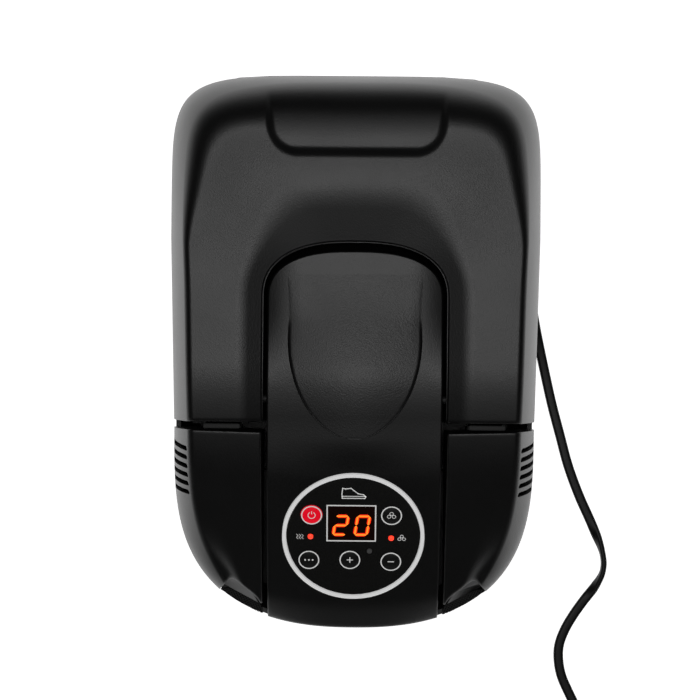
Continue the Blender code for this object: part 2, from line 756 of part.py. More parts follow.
def tray_row(core, aim, thickness):
    x, y = hit(in_body, core, aim)
    nx, ny = normal_at(x, y)
    row = []
    for k in range(5):
        z = mix(RIM_Z, FLOOR_Z + 0.004, k / 4)
        inset = 0.0008 + 0.010 * ((RIM_Z - z) / RIM_Z) ** 1.8 + thickness
        row.append((x - nx * inset, y - ny * inset, z))
    inset = row[-1]
    low = FLOOR_Z + thickness
    for turn in (math.pi / 4, math.pi / 2):
        r = 0.004 - thickness * 0.5
        d = r * (1 - math.cos(turn))
        row.append((inset[0] - nx * d, inset[1] - ny * d, low + (0.004 - thickness) * (1 - math.sin(turn))))
    start = row[-1]
    for share in (0.35, 1.0):
        row.append((mix(start[0], core[0], share), mix(start[1], core[1], share), low))
    return row


def corner_places(at):
    return [(f"{end}_{word}", side * at[0], way * at[1]) for end, way in (("front", -1), ("rear", 1))
            for word, side in SIDES]


def rear_places(at):
    return [place for place in corner_places(at) if place[2] > 0]


def make_tray():
    places = rays(0.085, -0.085, 7, 20, 20)
    tray = cup(
        "base_tray",
        [tray_row(core, aim, 0.0) for core, aim in places],
        [tray_row(core, aim, 0.0025) for core, aim in places],
        "black_plastic",
    )
    inner_floor = FLOOR_Z + 0.0025
    for name, x, y in rear_places(SCREW_AT):
        boss = rod(f"{name}_boss", (x, y, inner_floor - 0.001), (x, y, inner_floor + 0.007), 0.0055, sides=20)
        add(tray, boss)
        cut(tray, rod(f"{name}_sink", (x, y, FLOOR_Z - 0.001), (x, y, FLOOR_Z + 0.005), 0.0040, sides=20))
        cut(tray, rod(f"{name}_bore", (x, y, FLOOR_Z), (x, y, FLOOR_Z + 0.02), 0.0019, sides=16))
        head_z = FLOOR_Z + 0.005 - TOUCH
        turned(f"{name}_screw", [(0, head_z - 0.0022), (0.0028, head_z - 0.0022), (0.0034, head_z - 0.0012),
                                 (0.0034, head_z), (0.0015, head_z), (0.0015, 0.030), (0, 0.0308)],
               "steel", 20, Matrix.Translation((x, y, 0)))
    for name, x, y in corner_places(FOOT_AT):
        turned(f"{name}_foot", [(0, 0), (FOOT_R - 0.0006, 0), (FOOT_R, 0.0006), (FOOT_R, FLOOR_Z - TOUCH),
                                (0, FLOOR_Z - TOUCH)], "rubber", 24, Matrix.Translation((x, y, 0)))
    # The block low on the right side that the cord comes out of: a bore for the strain relief's shank,
    # and an open channel ahead of it
    root = GLAND_TIP - GLAND_AIM * GLAND_LENGTH
    low = (GLAND_TIP.x - 0.0115, GLAND_TIP.y - 0.022, inner_floor - 0.001)
    high = (GLAND_TIP.x + 0.0003, root.y + 0.0115, root.z + 0.0060)
    add(tray, box("cord_block", low, high))
    cut(tray, rod("gland_cutter", root - GLAND_AIM * 0.030, root + GLAND_AIM * 0.004, GLAND_R[0] + FIT))
    cut(tray, rod("channel_cutter", root, root + GLAND_AIM * 0.060, GLAND_R[1] + FIT))


def make_gland():
    """A tapered strain relief: a shank held in the fairing, a collar in front of it and a long cone."""
    turn = GLAND_AIM.to_track_quat("Z", "Y").to_matrix().to_4x4()
    length = GLAND_LENGTH - TOUCH
    place = Matrix.Translation(GLAND_TIP - GLAND_AIM * length) @ turn
    shank, collar, cone, end = GLAND_R
    turned("cord_gland", [(0, -0.010), (shank, -0.010), (shank, 0.0006), (collar, 0.0010), (collar, 0.0035),
                          (cone, 0.0045), (end, length - TOUCH), (0, length - TOUCH)],
           "rubber", 24, place)


def make_deck():
    """The floor of the bays under the hood, with posts for the tray's screws."""
    outline = []
    for core, aim in rays(0.085, -0.0385, 6, 28):
        x, y = hit(in_body, core, aim)
        nx, ny = normal_at(x, y)
        outline.append((x - nx * DECK_INSET, y - ny * DECK_INSET))
    deck = prism("rear_deck", outline, *DECK_Z, "black_plastic")
    for name, x, y in rear_places(SCREW_AT):
        add(deck, rod(f"{name}_post", (x, y, FLOOR_Z + 0.0098), (x, y, DECK_Z[0] + 0.001), 0.0045, sides=20))
        cut(deck, rod(f"{name}_post_bore", (x, y, 0), (x, y, 0.034), 0.0018, sides=16))
    cut(deck, rod("motor_opening", (0, BLOWER_Y, 0.03), (0, BLOWER_Y, 0.06), MOTOR_R + 0.002))
    for word, side in SIDES:
        x = side * NOZZLE_X
        cut(deck, box(f"{word}_duct_opening", (x - 0.0085, -0.0375, 0.04), (x + 0.0085, -0.0245, 0.06)))


# ---------------------------------------------------------------- nozzles and hinges


def make_nozzle(word, side):
    """A flat air nozzle on a hinge drum: a hollow, rounded duct that is open at its rear mouth."""
    rings_out, rings_in = [], []
    count = 10
    for i in range(count):
        t = (i / (count - 1)) ** 1.6
        y = mix(NOZZLE_PIVOT_Y + 0.002, NOZZLE_END_Y, t)
        half = mix(NOZZLE_HALF[0], NOZZLE_HALF[1], smooth((y + 0.0250) / 0.030))
        thick = mix(NOZZLE_THICK[0], NOZZLE_THICK[1], smooth(t * 1.6)) * (1 - 0.12 * smooth((t - 0.75) / 0.25))
        half *= 1 - 0.10 * smooth((t - 0.75) / 0.25)
        for rings, less in ((rings_out, 0.0), (rings_in, NOZZLE_WALL)):
            ring = []
            for k in range(16):
                a = 2 * math.pi * (k + 0.5) / 16
                c, s = math.cos(a), math.sin(a)
                ring.append((
                    side * NOZZLE_X + (half - less) * math.copysign(abs(c) ** 0.6, c),
                    y + (less if i == 0 else 0) * 6,
                    NOZZLE_PIVOT_Z + (thick - less) * math.copysign(abs(s) ** 0.6, s),
                ))
            rings.append(ring)
    bm = bmesh.new()
    out = [[bm.verts.new(p) for p in ring] for ring in rings_out]
    into = [[bm.verts.new(p) for p in ring] for ring in rings_in]
    for rings in (out, into):
        for a, b in zip(rings, rings[1:]):
            for k in range(16):
                j = (k + 1) % 16
                bm.faces.new((a[k], b[k], b[j], a[j]))
    bm.faces.new(out[0])
    bm.faces.new(into[0])
    for k in range(16):
        j = (k + 1) % 16
        bm.faces.new((out[-1][k], into[-1][k], into[-1][j], out[-1][j]))
    nozzle = from_bmesh(f"{word}_nozzle", bm, "black_plastic")
    centre = Vector((side * NOZZLE_X, NOZZLE_PIVOT_Y, NOZZLE_PIVOT_Z))
    half_drum = Vector((DRUM_LENGTH / 2, 0, 0))
    add(nozzle, rod(f"{word}_drum", centre - half_drum, centre + half_drum, DRUM_R, sides=32))
    cut(nozzle, rod(f"{word}_drum_bore", centre - half_drum * 3, centre + half_drum * 3, PIN_R + FIT))
    # The grille sits inside the mouth
    shrink = NOZZLE_WALL + FIT
    half, thick = NOZZLE_HALF[1] * 0.90 - shrink, NOZZLE_THICK[1] * 0.88 - shrink
    outline = []
    for k in range(16):
        a = 2 * math.pi * (k + 0.5) / 16
        c, s = math.cos(a), math.sin(a)
        outline.append((half * math.copysign(abs(c) ** 0.6, c), thick * math.copysign(abs(s) ** 0.6, s)))
    grille = prism(f"{word}_nozzle_grille", outline, -0.003, -0.0006, "dark_internal")
    place = Matrix.Translation((side * NOZZLE_X, NOZZLE_END_Y, NOZZLE_PIVOT_Z))
    grille.data.transform(place @ Matrix.Rotation(-math.pi / 2, 4, "X"))
    bars = bmesh.new()
    for i in range(-2, 3):
        x = side * NOZZLE_X + i * 0.0042
        box_mesh(bars, (x - 0.0011, NOZZLE_END_Y - 0.01, NOZZLE_PIVOT_Z - 0.0042),
                 (x + 0.0011, NOZZLE_END_Y + 0.01, NOZZLE_PIVOT_Z + 0.0042))
    cut(grille, from_bmesh(f"{word}_grille_slots", bars))


def spring(name, start_x, end_x, y, z):
    """A torsion spring around a pin: a wound wire with a short leg at each end."""
    turns, steps = 3, 10
    radius, wire = 0.0042, 0.0005
    points = [(start_x, y + radius, z - 0.006)]
    for i in range(turns * steps + 1):
        a = 2 * math.pi * i / steps
        x = mix(start_x, end_x, i / (turns * steps))
        points.append((x, y + radius * math.cos(a), z + radius * math.sin(a)))
    curve = bpy.data.curves.new(name, "CURVE")
    curve.dimensions = "3D"
    curve.bevel_depth = wire
    curve.bevel_resolution = 1
    curve.use_fill_caps = True
    line = curve.splines.new("POLY")
    line.points.add(len(points) - 1)
    for p, place in zip(line.points, points):
        p.co = (*place, 1)
    curve.materials.append(material("steel"))
    thing = bpy.data.objects.new(name, curve)
    bpy.context.collection.objects.link(thing)


def make_hinges():
    for word, side in SIDES:
        # Hood hinge: a pin held in the spine's side, and a cheek on the hood's lip
        inner, outer = side * (SPINE_HALF - 0.006), side * (MOUTH_HALF + WALL + 0.0034)
        rod(f"{word}_hood_pin", (inner, HINGE_Y, HINGE_Z), (outer, HINGE_Y, HINGE_Z), HINGE_R, "steel")
        x0, x1 = sorted((side * (MOUTH_HALF + WALL + TOUCH), side * (MOUTH_HALF + WALL + 0.0028)))
        cheek = box(f"{word}_hinge_cheek", (x0, HINGE_Y - 0.008, HINGE_Z - 0.0055),
                    (x1, HINGE_Y + 0.010, HINGE_Z + 0.0026), "steel")
        cut(cheek, rod(f"{word}_cheek_bore", (-0.08, HINGE_Y, HINGE_Z), (0.08, HINGE_Y, HINGE_Z),
                       HINGE_R + FIT))
        # Nozzle hinge: a bracket with two ears on the deck, a pin through them and a spring
        centre = side * NOZZLE_X
        base_z = DECK_Z[1] + TOUCH
        ear = 0.0024
        half = DRUM_LENGTH / 2
        left_end, right_end = centre - half - 0.0062, centre + half + 0.0007
        spans = ((left_end - ear, left_end), (right_end, right_end + ear))
        bracket = box(f"{word}_nozzle_bracket", (spans[0][0], -0.0400, base_z),
                      (spans[1][1], -0.0215, base_z + 0.0022), "dark_internal")
        for i, (e0, e1) in enumerate(spans):
            add(bracket, box(f"{word}_ear_{i}", (e0, NOZZLE_PIVOT_Y - 0.006, base_z + 0.001),
                             (e1, NOZZLE_PIVOT_Y + 0.006, NOZZLE_PIVOT_Z + 0.005)))
        cut(bracket, rod(f"{word}_ear_bore", (centre - 0.05, NOZZLE_PIVOT_Y, NOZZLE_PIVOT_Z),
                         (centre + 0.05, NOZZLE_PIVOT_Y, NOZZLE_PIVOT_Z), PIN_R + FIT))
        cut(bracket, box(f"{word}_bracket_opening", (centre - 0.0085, -0.0375, 0.04),
                         (centre + 0.0085, -0.0245, 0.056)))
        rod(f"{word}_nozzle_pin", (spans[0][0] - 0.001, NOZZLE_PIVOT_Y, NOZZLE_PIVOT_Z),
            (spans[1][1] + 0.001, NOZZLE_PIVOT_Y, NOZZLE_PIVOT_Z), PIN_R, "steel")
        spring(f"{word}_nozzle_spring", spans[0][1] + 0.0012, centre - half - 0.0012, NOZZLE_PIVOT_Y,
               NOZZLE_PIVOT_Z)


def make_catch():
    """A magnet on the deck that holds the closed hood, and its steel plate on the hood's rear wall."""
    box("catch_magnet", (-0.011, 0.1330, DECK_Z[1] + TOUCH), (0.011, 0.1390, DECK_Z[1] + 0.008), "steel")
    box("catch_plate", (-0.012, 0.1396, 0.0515), (0.012, 0.1465, 0.0600), "steel")


# ---------------------------------------------------------------- blower, heater, ozone and electrics


def make_blower():
    z0, z1 = BLOWER_Z
    wall = 0.002
    housing = turned(
        "blower_housing",
        [(0, z0), (BLOWER_R, z0), (BLOWER_R, z1), (BLOWER_R - 0.014, z1), (BLOWER_R - 0.014, z1 - wall),
         (BLOWER_R - wall, z1 - wall), (BLOWER_R - wall, z0 + wall), (0, z0 + wall)],
        "dark_internal", 40, Matrix.Translation((0, BLOWER_Y, 0)),
    )
    cut(housing, box("blower_outlet", (-0.018, BLOWER_Y - BLOWER_R - 0.01, z0 + 0.005),
                     (0.018, BLOWER_Y - BLOWER_R + 0.01, z1 - 0.006)))
    hub_low = z0 + wall + 0.0015
    impeller = turned(
        "impeller",
        [(0, hub_low), (0.036, hub_low), (0.036, hub_low + 0.0016), (0.008, hub_low + 0.0016),
         (0.006, hub_low + 0.014), (0.002, hub_low + 0.014), (0.002, z1 + 0.0035), (0, z1 + 0.0035)],
        "dark_internal", 32, Matrix.Translation((0, BLOWER_Y, 0)),
    )
    count = 14
    for i in range(count):
        bm = bmesh.new()
        box_mesh(bm, (0.0265, -0.0007, hub_low + 0.0008), (0.0355, 0.0007, hub_low + 0.0200))
        turn = Matrix.Translation((0.031, 0, 0)) @ Matrix.Rotation(0.6, 4, "Z") @ Matrix.Translation((-0.031, 0, 0))
        bmesh.ops.transform(bm, matrix=Matrix.Translation((0, BLOWER_Y, 0))
                            @ Matrix.Rotation(2 * math.pi * i / count, 4, "Z") @ turn, verts=bm.verts)
        add(impeller, from_bmesh(f"blade_{i}", bm))
    motor_z = z1 + 0.0038
    rod("blower_motor", (0, BLOWER_Y, motor_z), (0, BLOWER_Y, motor_z + 0.030), MOTOR_R, "steel", 32)


def make_heater():
    """A framed ceramic heater in front of the blower's outlet, and the duct to both nozzles."""
    y1 = BLOWER_Y - BLOWER_R - 0.001
    y0 = y1 - 0.020
    frame_low, frame_high = (-0.030, y0, 0.010), (0.030, y1, 0.040)
    frame = box("heater_frame", frame_low, frame_high, "ceramic")
    cut(frame, box("heater_opening", (-0.0265, y0 - 0.01, 0.0135), (0.0265, y1 + 0.01, 0.0365)))
    core = box("heater_core", (-0.0262, y0 + 0.004, 0.0138), (0.0262, y1 - 0.004, 0.0362), "copper")
    slots = bmesh.new()
    for i in range(-5, 6):
        box_mesh(slots, (i * 0.0045 - 0.0012, y0, 0.0155), (i * 0.0045 + 0.0012, y1, 0.0345))
    cut(core, from_bmesh("heater_slots", slots))
    # The duct runs across in front of the heater, then back along each side to its nozzle
    m1 = y0 - 0.0006
    m0 = m1 - 0.024
    duct = box("air_duct", (-NOZZLE_X - 0.0080, m0, 0.012), (NOZZLE_X + 0.0080, m1, 0.038), "dark_internal")
    bore = box("air_duct_bore", (-NOZZLE_X - 0.0062, m0 + 0.0018, 0.0138), (NOZZLE_X + 0.0062, m1 - 0.0018, 0.0362))
    mouth = box("air_duct_mouth", (-0.024, m1 - 0.004, 0.016), (0.024, m1 + 0.004, 0.034))
    for word, side in SIDES:
        x = side * NOZZLE_X
        add(duct, box(f"{word}_duct_arm", (x - 0.0080, m1 - 0.003, 0.012), (x + 0.0080, -0.0250, 0.038)))
        add(duct, box(f"{word}_duct_stub", (x - 0.0080, -0.0370, 0.030), (x + 0.0080, -0.0250, 0.0560)))
    cut(duct, bore, mouth)
    for word, side in SIDES:
        x = side * NOZZLE_X
        cut(duct, box(f"{word}_arm_bore", (x - 0.0062, m1 - 0.006, 0.0138), (x + 0.0062, -0.0268, 0.0362)))
        cut(duct, box(f"{word}_stub_bore", (x - 0.0062, -0.0352, 0.030), (x + 0.0062, -0.0268, 0.0600)))


def make_electrics():
    top = FLOOR_Z + 0.0025
    box("ozone_module", (-0.056, 0.082, top + 0.0012), (-0.022, 0.122, top + 0.026), "dark_internal")
    box("power_board", (0.002, 0.062, top + 0.004), (0.058, 0.128, top + 0.0056), "circuit_board")
    box("transformer", (0.014, 0.090, top + 0.0059), (0.044, 0.120, top + 0.030), "steel")


# ---------------------------------------------------------------- the cord


def smooth_route(points, step):
    """Points about a step apart on a smooth curve through the route's own points."""
    ends = [Vector(p) for p in points]
    ends = [ends[0] * 2 - ends[1], *ends, ends[-1] * 2 - ends[-2]]
    fine = []
    for a, b, c, d in zip(ends, ends[1:], ends[2:], ends[3:]):
        for i in range(12):
            t = i / 12
            fine.append(0.5 * (2 * b + (c - a) * t + (2 * a - 5 * b + 4 * c - d) * t**2
                               + (3 * b - a - 3 * c + d) * t**3))
    fine.append(ends[-2])
    kept = [fine[0]]
    for p in fine[1:-1]:
        if (p - kept[-1]).length >= step and (fine[-1] - p).length > step / 2:
            kept.append(p)
    return [*kept, fine[-1]]


def tube(name, points, step):
    curve = bpy.data.curves.new(name, "CURVE")
    curve.dimensions = "3D"
    curve.bevel_depth = CORD_R
    curve.bevel_resolution = 2
    curve.use_fill_caps = True
    places = smooth_route(points, step)
    line = curve.splines.new("POLY")
    line.points.add(len(places) - 1)
    for p, place in zip(line.points, places):
        p.co = (*place, 1)
    curve.materials.append(material("cord_sheath"))
    bpy.context.collection.objects.link(bpy.data.objects.new(name, curve))


def make_cord():
    start = GLAND_TIP + GLAND_AIM * TOUCH
    tube("mains_cord", [tuple(start), *ROUTE[1:]], 0.009)
    tube("cord_tail", TAIL, 0.006)
    inner, outer = COIL_R
    low, high, r = 0.0002, COIL_HEIGHT, 0.0016
    turned(
        "cord_coil",
        [(inner + r, low), (outer - r, low), (outer, low + r), (outer, high - r), (outer - r, high),
         (inner + r, high), (inner, high - r), (inner, low + r)],
        "cord_sheath", 40, Matrix.Translation((*COIL_AT, 0)),
    )
    # A flat two-pin plug that lies on its broad side
    x, y, z = PLUG_AT
    half = 0.0068
    outline = [(-0.0006, 0.0045), (-0.012, 0.0075), (-0.021, 0.0165), (-0.0365, 0.0176)]
    outline = [(x + u, y + v) for u, v in outline] + [(x + u, y - v) for u, v in reversed(outline)]
    body = prism("mains_plug", outline, z - half, z + half, "cord_sheath")
    for side in (-1, 1):
        pin_y = y + side * 0.0093
        add(body, rod(f"plug_pin_{side}", (x - 0.035, pin_y, z), (x - 0.0555, pin_y, z), 0.002, sides=16))


for thing in list(bpy.data.objects):
    bpy.data.objects.remove(thing, do_unlink=True)
make_tray()
make_deck()
make_covers()
make_spine()
make_pad()
make_panel()
make_hood()
for side_name, side_sign in SIDES:
    make_nozzle(side_name, side_sign)
make_hinges()
make_catch()
make_blower()
make_heater()
make_electrics()
make_gland()
make_cord()
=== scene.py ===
"""The looks of a flat shoe dryer: finished shells, control panel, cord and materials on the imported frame."""

import math

import bmesh
import bpy
import numpy as np
from mathutils import Matrix, Vector


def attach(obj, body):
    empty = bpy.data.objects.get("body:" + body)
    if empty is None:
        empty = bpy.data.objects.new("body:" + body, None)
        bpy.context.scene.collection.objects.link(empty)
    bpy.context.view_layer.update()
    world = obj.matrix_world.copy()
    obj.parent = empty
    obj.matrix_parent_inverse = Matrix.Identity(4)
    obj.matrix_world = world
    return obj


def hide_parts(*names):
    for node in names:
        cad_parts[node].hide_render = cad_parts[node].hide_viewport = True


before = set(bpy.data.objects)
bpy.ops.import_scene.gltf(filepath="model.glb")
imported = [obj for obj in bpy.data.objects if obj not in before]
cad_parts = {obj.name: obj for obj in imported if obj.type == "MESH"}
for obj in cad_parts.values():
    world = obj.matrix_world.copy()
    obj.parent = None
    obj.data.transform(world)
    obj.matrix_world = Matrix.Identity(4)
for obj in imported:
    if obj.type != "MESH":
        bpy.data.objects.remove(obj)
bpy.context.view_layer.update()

# ---------------------------------------------------------------- sizes, in metres

# The outline of the body at its widest line
REAR_HALF_WIDTH = 0.100
SPLIT_HALF_WIDTH = 0.0975
HALF_LENGTH = 0.1504
REAR_LENGTH = 0.1486
REAR_TURN_Y = 0.060
SPLIT_Y = -0.043
REAR_POWERS = (5.4, 6.6)  # across, along
FRONT_POWERS = (2.4, 3.2)

# Heights and the fall towards the front
TOP_Z = 0.110
WIDEST_Z = 0.0490
RIM_Z = 0.0484
SLOPE = math.radians(25)
SLOPE_START_Y = -0.006
SLOPE_FULL_Y = -0.068
WALL = 0.0024
FIT = 0.0004

# The upper edge: its inset from the widest line, its radius and its drop below the ridge
SIDE_EDGE = (0.0095, 0.0044, 0.0026)
REAR_EDGE = (0.0050, 0.0290, 0.0010)
CORNER_INSET = 0.0045
CORNER_AT = (0.84, 0.30)  # the rear corners, as a ray's angle and the reach of their softening
CROWN = 0.0006
DISH_SIDE = (0.0030, 0.014)  # depth and width of the dip around the spine
DISH_REAR = (0.0066, 0.034)
DISH_CORNER = 0.004
DISH_CORNER_AT = (0.9, 0.35)

# The hood's opening, its hinge and its front tabs
MOUTH_HALF = 0.0487
MOUTH_TURN_Y = 0.0268
MOUTH_REAR_Y = 0.0573
LIP = 0.008
LEDGE = ((0.0, 0.0030), (0.0002, 0.0034), (0.0005, 0.0034), (0.0007, 0.0036))  # in from the lip, down
HOOD_FRONT_Y = -0.0374
HOOD_END = ((0.0, 0.0006), (0.00015, 0.00028), (0.0004, 0.00006))  # back from the cut edge, down
HINGE_Y = -0.0254
HINGE_Z = 0.094
HINGE_R = 0.0020
TAB_X = 0.0695
TAB_OUT = 0.0024
TAB_DROP = 0.0060
TAB_SIZE = (0.019, 0.0024, 0.0011)

# The grip hollow at the rear of the hood
GRIP_FRONT_Y = 0.1003
GRIP_HALF = 0.0455
GRIP_SPREAD = 0.20
GRIP_FLOOR_Y = 0.1103
GRIP_FLOOR_R = 0.060
GRIP_FACE_Z = 0.1092
GRIP_LOW_Z = 0.085
GRIP_TURN = 0.015
GRIP_BANK = 0.0065
GRIP_DEPTH = 0.0018

# The front covers, their slots and the corner grilles
COVER_REAR_Y = (-0.0418, -0.0427)  # at the side and at the spine
VENT_COUNT = 6
VENT_PITCH = 0.0047
VENT_FIRST_Y = -0.0520
VENT_WIDTH = 0.0026
VENT_Z = (0.062, 0.0962)
VENT_LEAN = 0.09
GRILLE_OUT_Y = -0.1300
GRILLE_DEPTH = 0.0045
GRILLE_BULGE = 0.0036
GRILLE_BARS = 26
GRILLE_PITCH = 0.0012
GRILLE_BAR = 0.0004

# The spine and its pad
SPINE_HALF = 0.0461
SPINE_REAR_Y = 0.0523
SPINE_DROP = (0.0060, 0.0030)
SPINE_BASE_Z = 0.0479
SPINE_FLAT = 0.028
SPINE_SHOULDER = 0.0024
FRONT_ROUND = 0.016
PAD_HALF = 0.0352
PAD_FRONT_Y = -0.0464
PAD_TURN_Y = 0.0064
PAD_REAR_Y = 0.0400
PAD_RISE = (0.0002, 0.0034)
PAD_CROWN = 0.0012
PAD_EDGE = (0.0011, 0.0014)  # depth and width of its rounded edge
MOUND_Y = -0.0460
MOUND_REACH = 0.026
MOUND_RISE = 0.0018

# The control panel, in its own tilted plane
PANEL_Y = -0.0989
RING_R = 0.0379
RING_BAND = 0.0021
FASCIA_T = 0.0024
DISPLAY = (0.0260, 0.0216)
DISPLAY_AT = (-0.0011, 0.0082)
DISPLAY_LINE = 0.00068
DIGIT = (0.0112, 0.0064)  # height and width
DIGIT_SLANT = 0.14
DIGIT_GAP = 0.0050
EMBLEM_AT = (0.0, 0.0262)
KEY_R = 0.0056
KEY_TOP = 0.0005
KEYS = {
    "on_off": (-0.0222, 0.0131),
    "ozone": (0.0202, 0.0132),
    "preset": (-0.0236, -0.0141),
    "time_up": (-0.0017, -0.0139),
    "time_down": (0.0202, -0.0148),
}
LED_R = 0.0014
LEDS = {"dry": (-0.0228, -0.0002), "ozone": (0.0202, -0.0008)}

# The mains cord, a flat twin lead
CORD_WIDTH = 0.0055
CORD_THICK = 0.0034
COIL_AT = (0.1055, -0.2440)
COIL_TURNS = 5.4167
COIL_START = math.radians(30)
COIL_RADII = (0.040, 0.025)
COIL_LAYERS = (0.0020, 0.0034)  # height of the lower layer, and the step up to the upper one
GLAND_TIP = Vector((0.0972, 0.0400, 0.0100))
GLAND_AIM = Vector((0.126, -0.990, -0.060)).normalized()
ROUTE = [
    (0.0972, 0.0400, 0.0100), (0.0987, 0.0290, 0.0088), (0.1009, 0.0170, 0.0058), (0.1037, 0.0042, 0.0030),
    (0.1075, -0.0127, 0.0020), (0.1114, -0.0295, 0.0020), (0.1160, -0.0464, 0.0020), (0.1207, -0.0634, 0.0020),
    (0.1270, -0.0802, 0.0020), (0.1346, -0.0970, 0.0022), (0.1403, -0.1120, 0.0027), (0.1408, -0.1222, 0.0029),
    (0.1366, -0.1308, 0.0027), (0.1301, -0.1394, 0.0022), (0.1242, -0.1479, 0.0020), (0.1194, -0.1564, 0.0020),
    (0.1165, -0.1649, 0.0020), (0.1163, -0.1733, 0.0020), (0.1180, -0.1818, 0.0020), (0.1218, -0.1905, 0.0020),
    (0.1266, -0.2000, 0.0020), (0.1297, -0.2056, 0.0020), (0.1325, -0.2106, 0.0020), (0.1362, -0.2171, 0.0020),
]
TAIL = [
    (0.0772, -0.2738, 0.0046), (0.0664, -0.2666, 0.0036), (0.0610, -0.2624, 0.0038), (0.0546, -0.2574, 0.0050),
    (0.0468, -0.2532, 0.0062), (0.0378, -0.2511, 0.0069),
]
TWIST_AT = (0.1408, -0.1180)
PLUG_AT = (0.0375, -0.2510, 0.0069)
PLUG_PIN_APART = 0.0186
SIDES = (("left", -1), ("right", 1))

# ---------------------------------------------------------------- camera, light and floor


def stage():
    scene = bpy.context.scene
    scene.view_settings.view_transform = "Standard"
    lens = bpy.data.cameras.new("camera")
    lens.lens = 127.7
    lens.clip_end = 20
    camera = bpy.data.objects.new("camera", lens)
    camera.location = (-0.0026, 0.0005, 1.40)
    camera.rotation_euler = (0, 0, math.radians(0.5))
    bpy.context.collection.objects.link(camera)
    scene.camera = camera
    scene.world = studio_world()
    for name, place, size, power in (
        ("softbox_left", (-0.14, 0.03, 1.75), (0.24, 0.56), 2.35),
        ("softbox_right", (0.14, 0.03, 1.75), (0.24, 0.56), 2.35),
        ("softbox_front", (0.0, -0.72, 1.60), (1.10, 0.80), 1.0),
        ("softbox_rear", (0.0, 0.48, 1.90), (0.70, 0.36), 2.5),
    ):
        light = bpy.data.lights.new(name, "AREA")
        light.shape = "RECTANGLE"
        light.size, light.size_y = size
        light.energy = power
        lamp = bpy.data.objects.new(name, light)
        lamp.location = place
        lamp.rotation_euler = (Vector(place) - Vector((0, 0.05, 0.08))).to_track_quat("Z", "Y").to_euler()
        bpy.context.collection.objects.link(lamp)
    bm = bmesh.new()
    bmesh.ops.create_grid(bm, x_segments=1, y_segments=1, size=3.0)
    mesh = bpy.data.meshes.new("floor")
    bm.to_mesh(mesh)
    bm.free()
    floor = bpy.data.objects.new("floor", mesh)
    bpy.context.collection.objects.link(floor)
    mesh.materials.append(finish_floor())


def studio_world():
    """A pale horizon under a dim ceiling."""
    world = bpy.data.worlds.new("studio")
    world.use_nodes = True
    tree = world.node_tree
    aim = tree.nodes.new("ShaderNodeTexCoord")
    split = tree.nodes.new("ShaderNodeSeparateXYZ")
    fade = tree.nodes.new("ShaderNodeMapRange")
    fade.interpolation_type = "SMOOTHSTEP"
    for key, value in zip(("From Min", "From Max", "To Min", "To Max"), (0.0, 0.36, 0.22, 0.012)):
        fade.inputs[key].default_value = value
    tree.links.new(aim.outputs["Generated"], split.inputs[0])
    tree.links.new(split.outputs["Z"], fade.inputs["Value"])
    tree.links.new(fade.outputs[0], tree.nodes["Background"].inputs["Strength"])
    tree.nodes["Background"].inputs["Color"].default_value = (1, 1, 1, 1)
    return world


# ---------------------------------------------------------------- shader maths


class Value:
    """A socket that can be added, multiplied and so on, each adding its Math node."""

    def __init__(self, nodes, socket):
        self.nodes, self.socket = nodes, socket

    def maths(self, operation, other, swap=False):
        first, second = (other, self) if swap else (self, other)
        return self.nodes.add("ShaderNodeMath", {"operation": operation}, {0: first, 1: second})

    def __add__(self, other):
        return self.maths("ADD", other)

    def __radd__(self, other):
        return self.maths("ADD", other, True)

    def __sub__(self, other):
        return self.maths("SUBTRACT", other)

    def __rsub__(self, other):
        return self.maths("SUBTRACT", other, True)

    def __mul__(self, other):
        return self.maths("MULTIPLY", other)

    def __rmul__(self, other):
        return self.maths("MULTIPLY", other, True)

    def __pow__(self, other):
        return self.maths("POWER", other)


class Nodes:
    """One material's nodes, with a method that adds any node."""

    def __init__(self, name):
        self.material = bpy.data.materials.new(name)
        self.material.use_nodes = True
        self.tree = self.material.node_tree
        self.shader = self.tree.nodes["Principled BSDF"]
        self.place = self.add("ShaderNodeTexCoord", out="Object")

    def add(self, kind, settings=None, inputs=None, out=0):
        node = self.tree.nodes.new(kind)
        for key, value in (settings or {}).items():
            if key == "ramp":
                for stop, (at, colour) in zip(node.color_ramp.elements, value):
                    stop.position, stop.color = at, colour
            else:
                setattr(node, key, value)
        for key, value in (inputs or {}).items():
            self.put(node.inputs[key], value)
        return Value(self, node.outputs[out])

    def put(self, socket, value):
        if isinstance(value, Value):
            self.tree.links.new(value.socket, socket)
        else:
            socket.default_value = value

    def noise(self, scale, detail=2.0, rough=0.5):
        return self.add("ShaderNodeTexNoise", {}, {"Vector": self.place, "Scale": scale, "Detail": detail,
                                                   "Roughness": rough})

    def blend(self, share, dark, light):
        ends = {0: share, 6: (*dark, 1), 7: (*light, 1)}
        return self.add("ShaderNodeMix", {"data_type": "RGBA"}, ends, out=2)


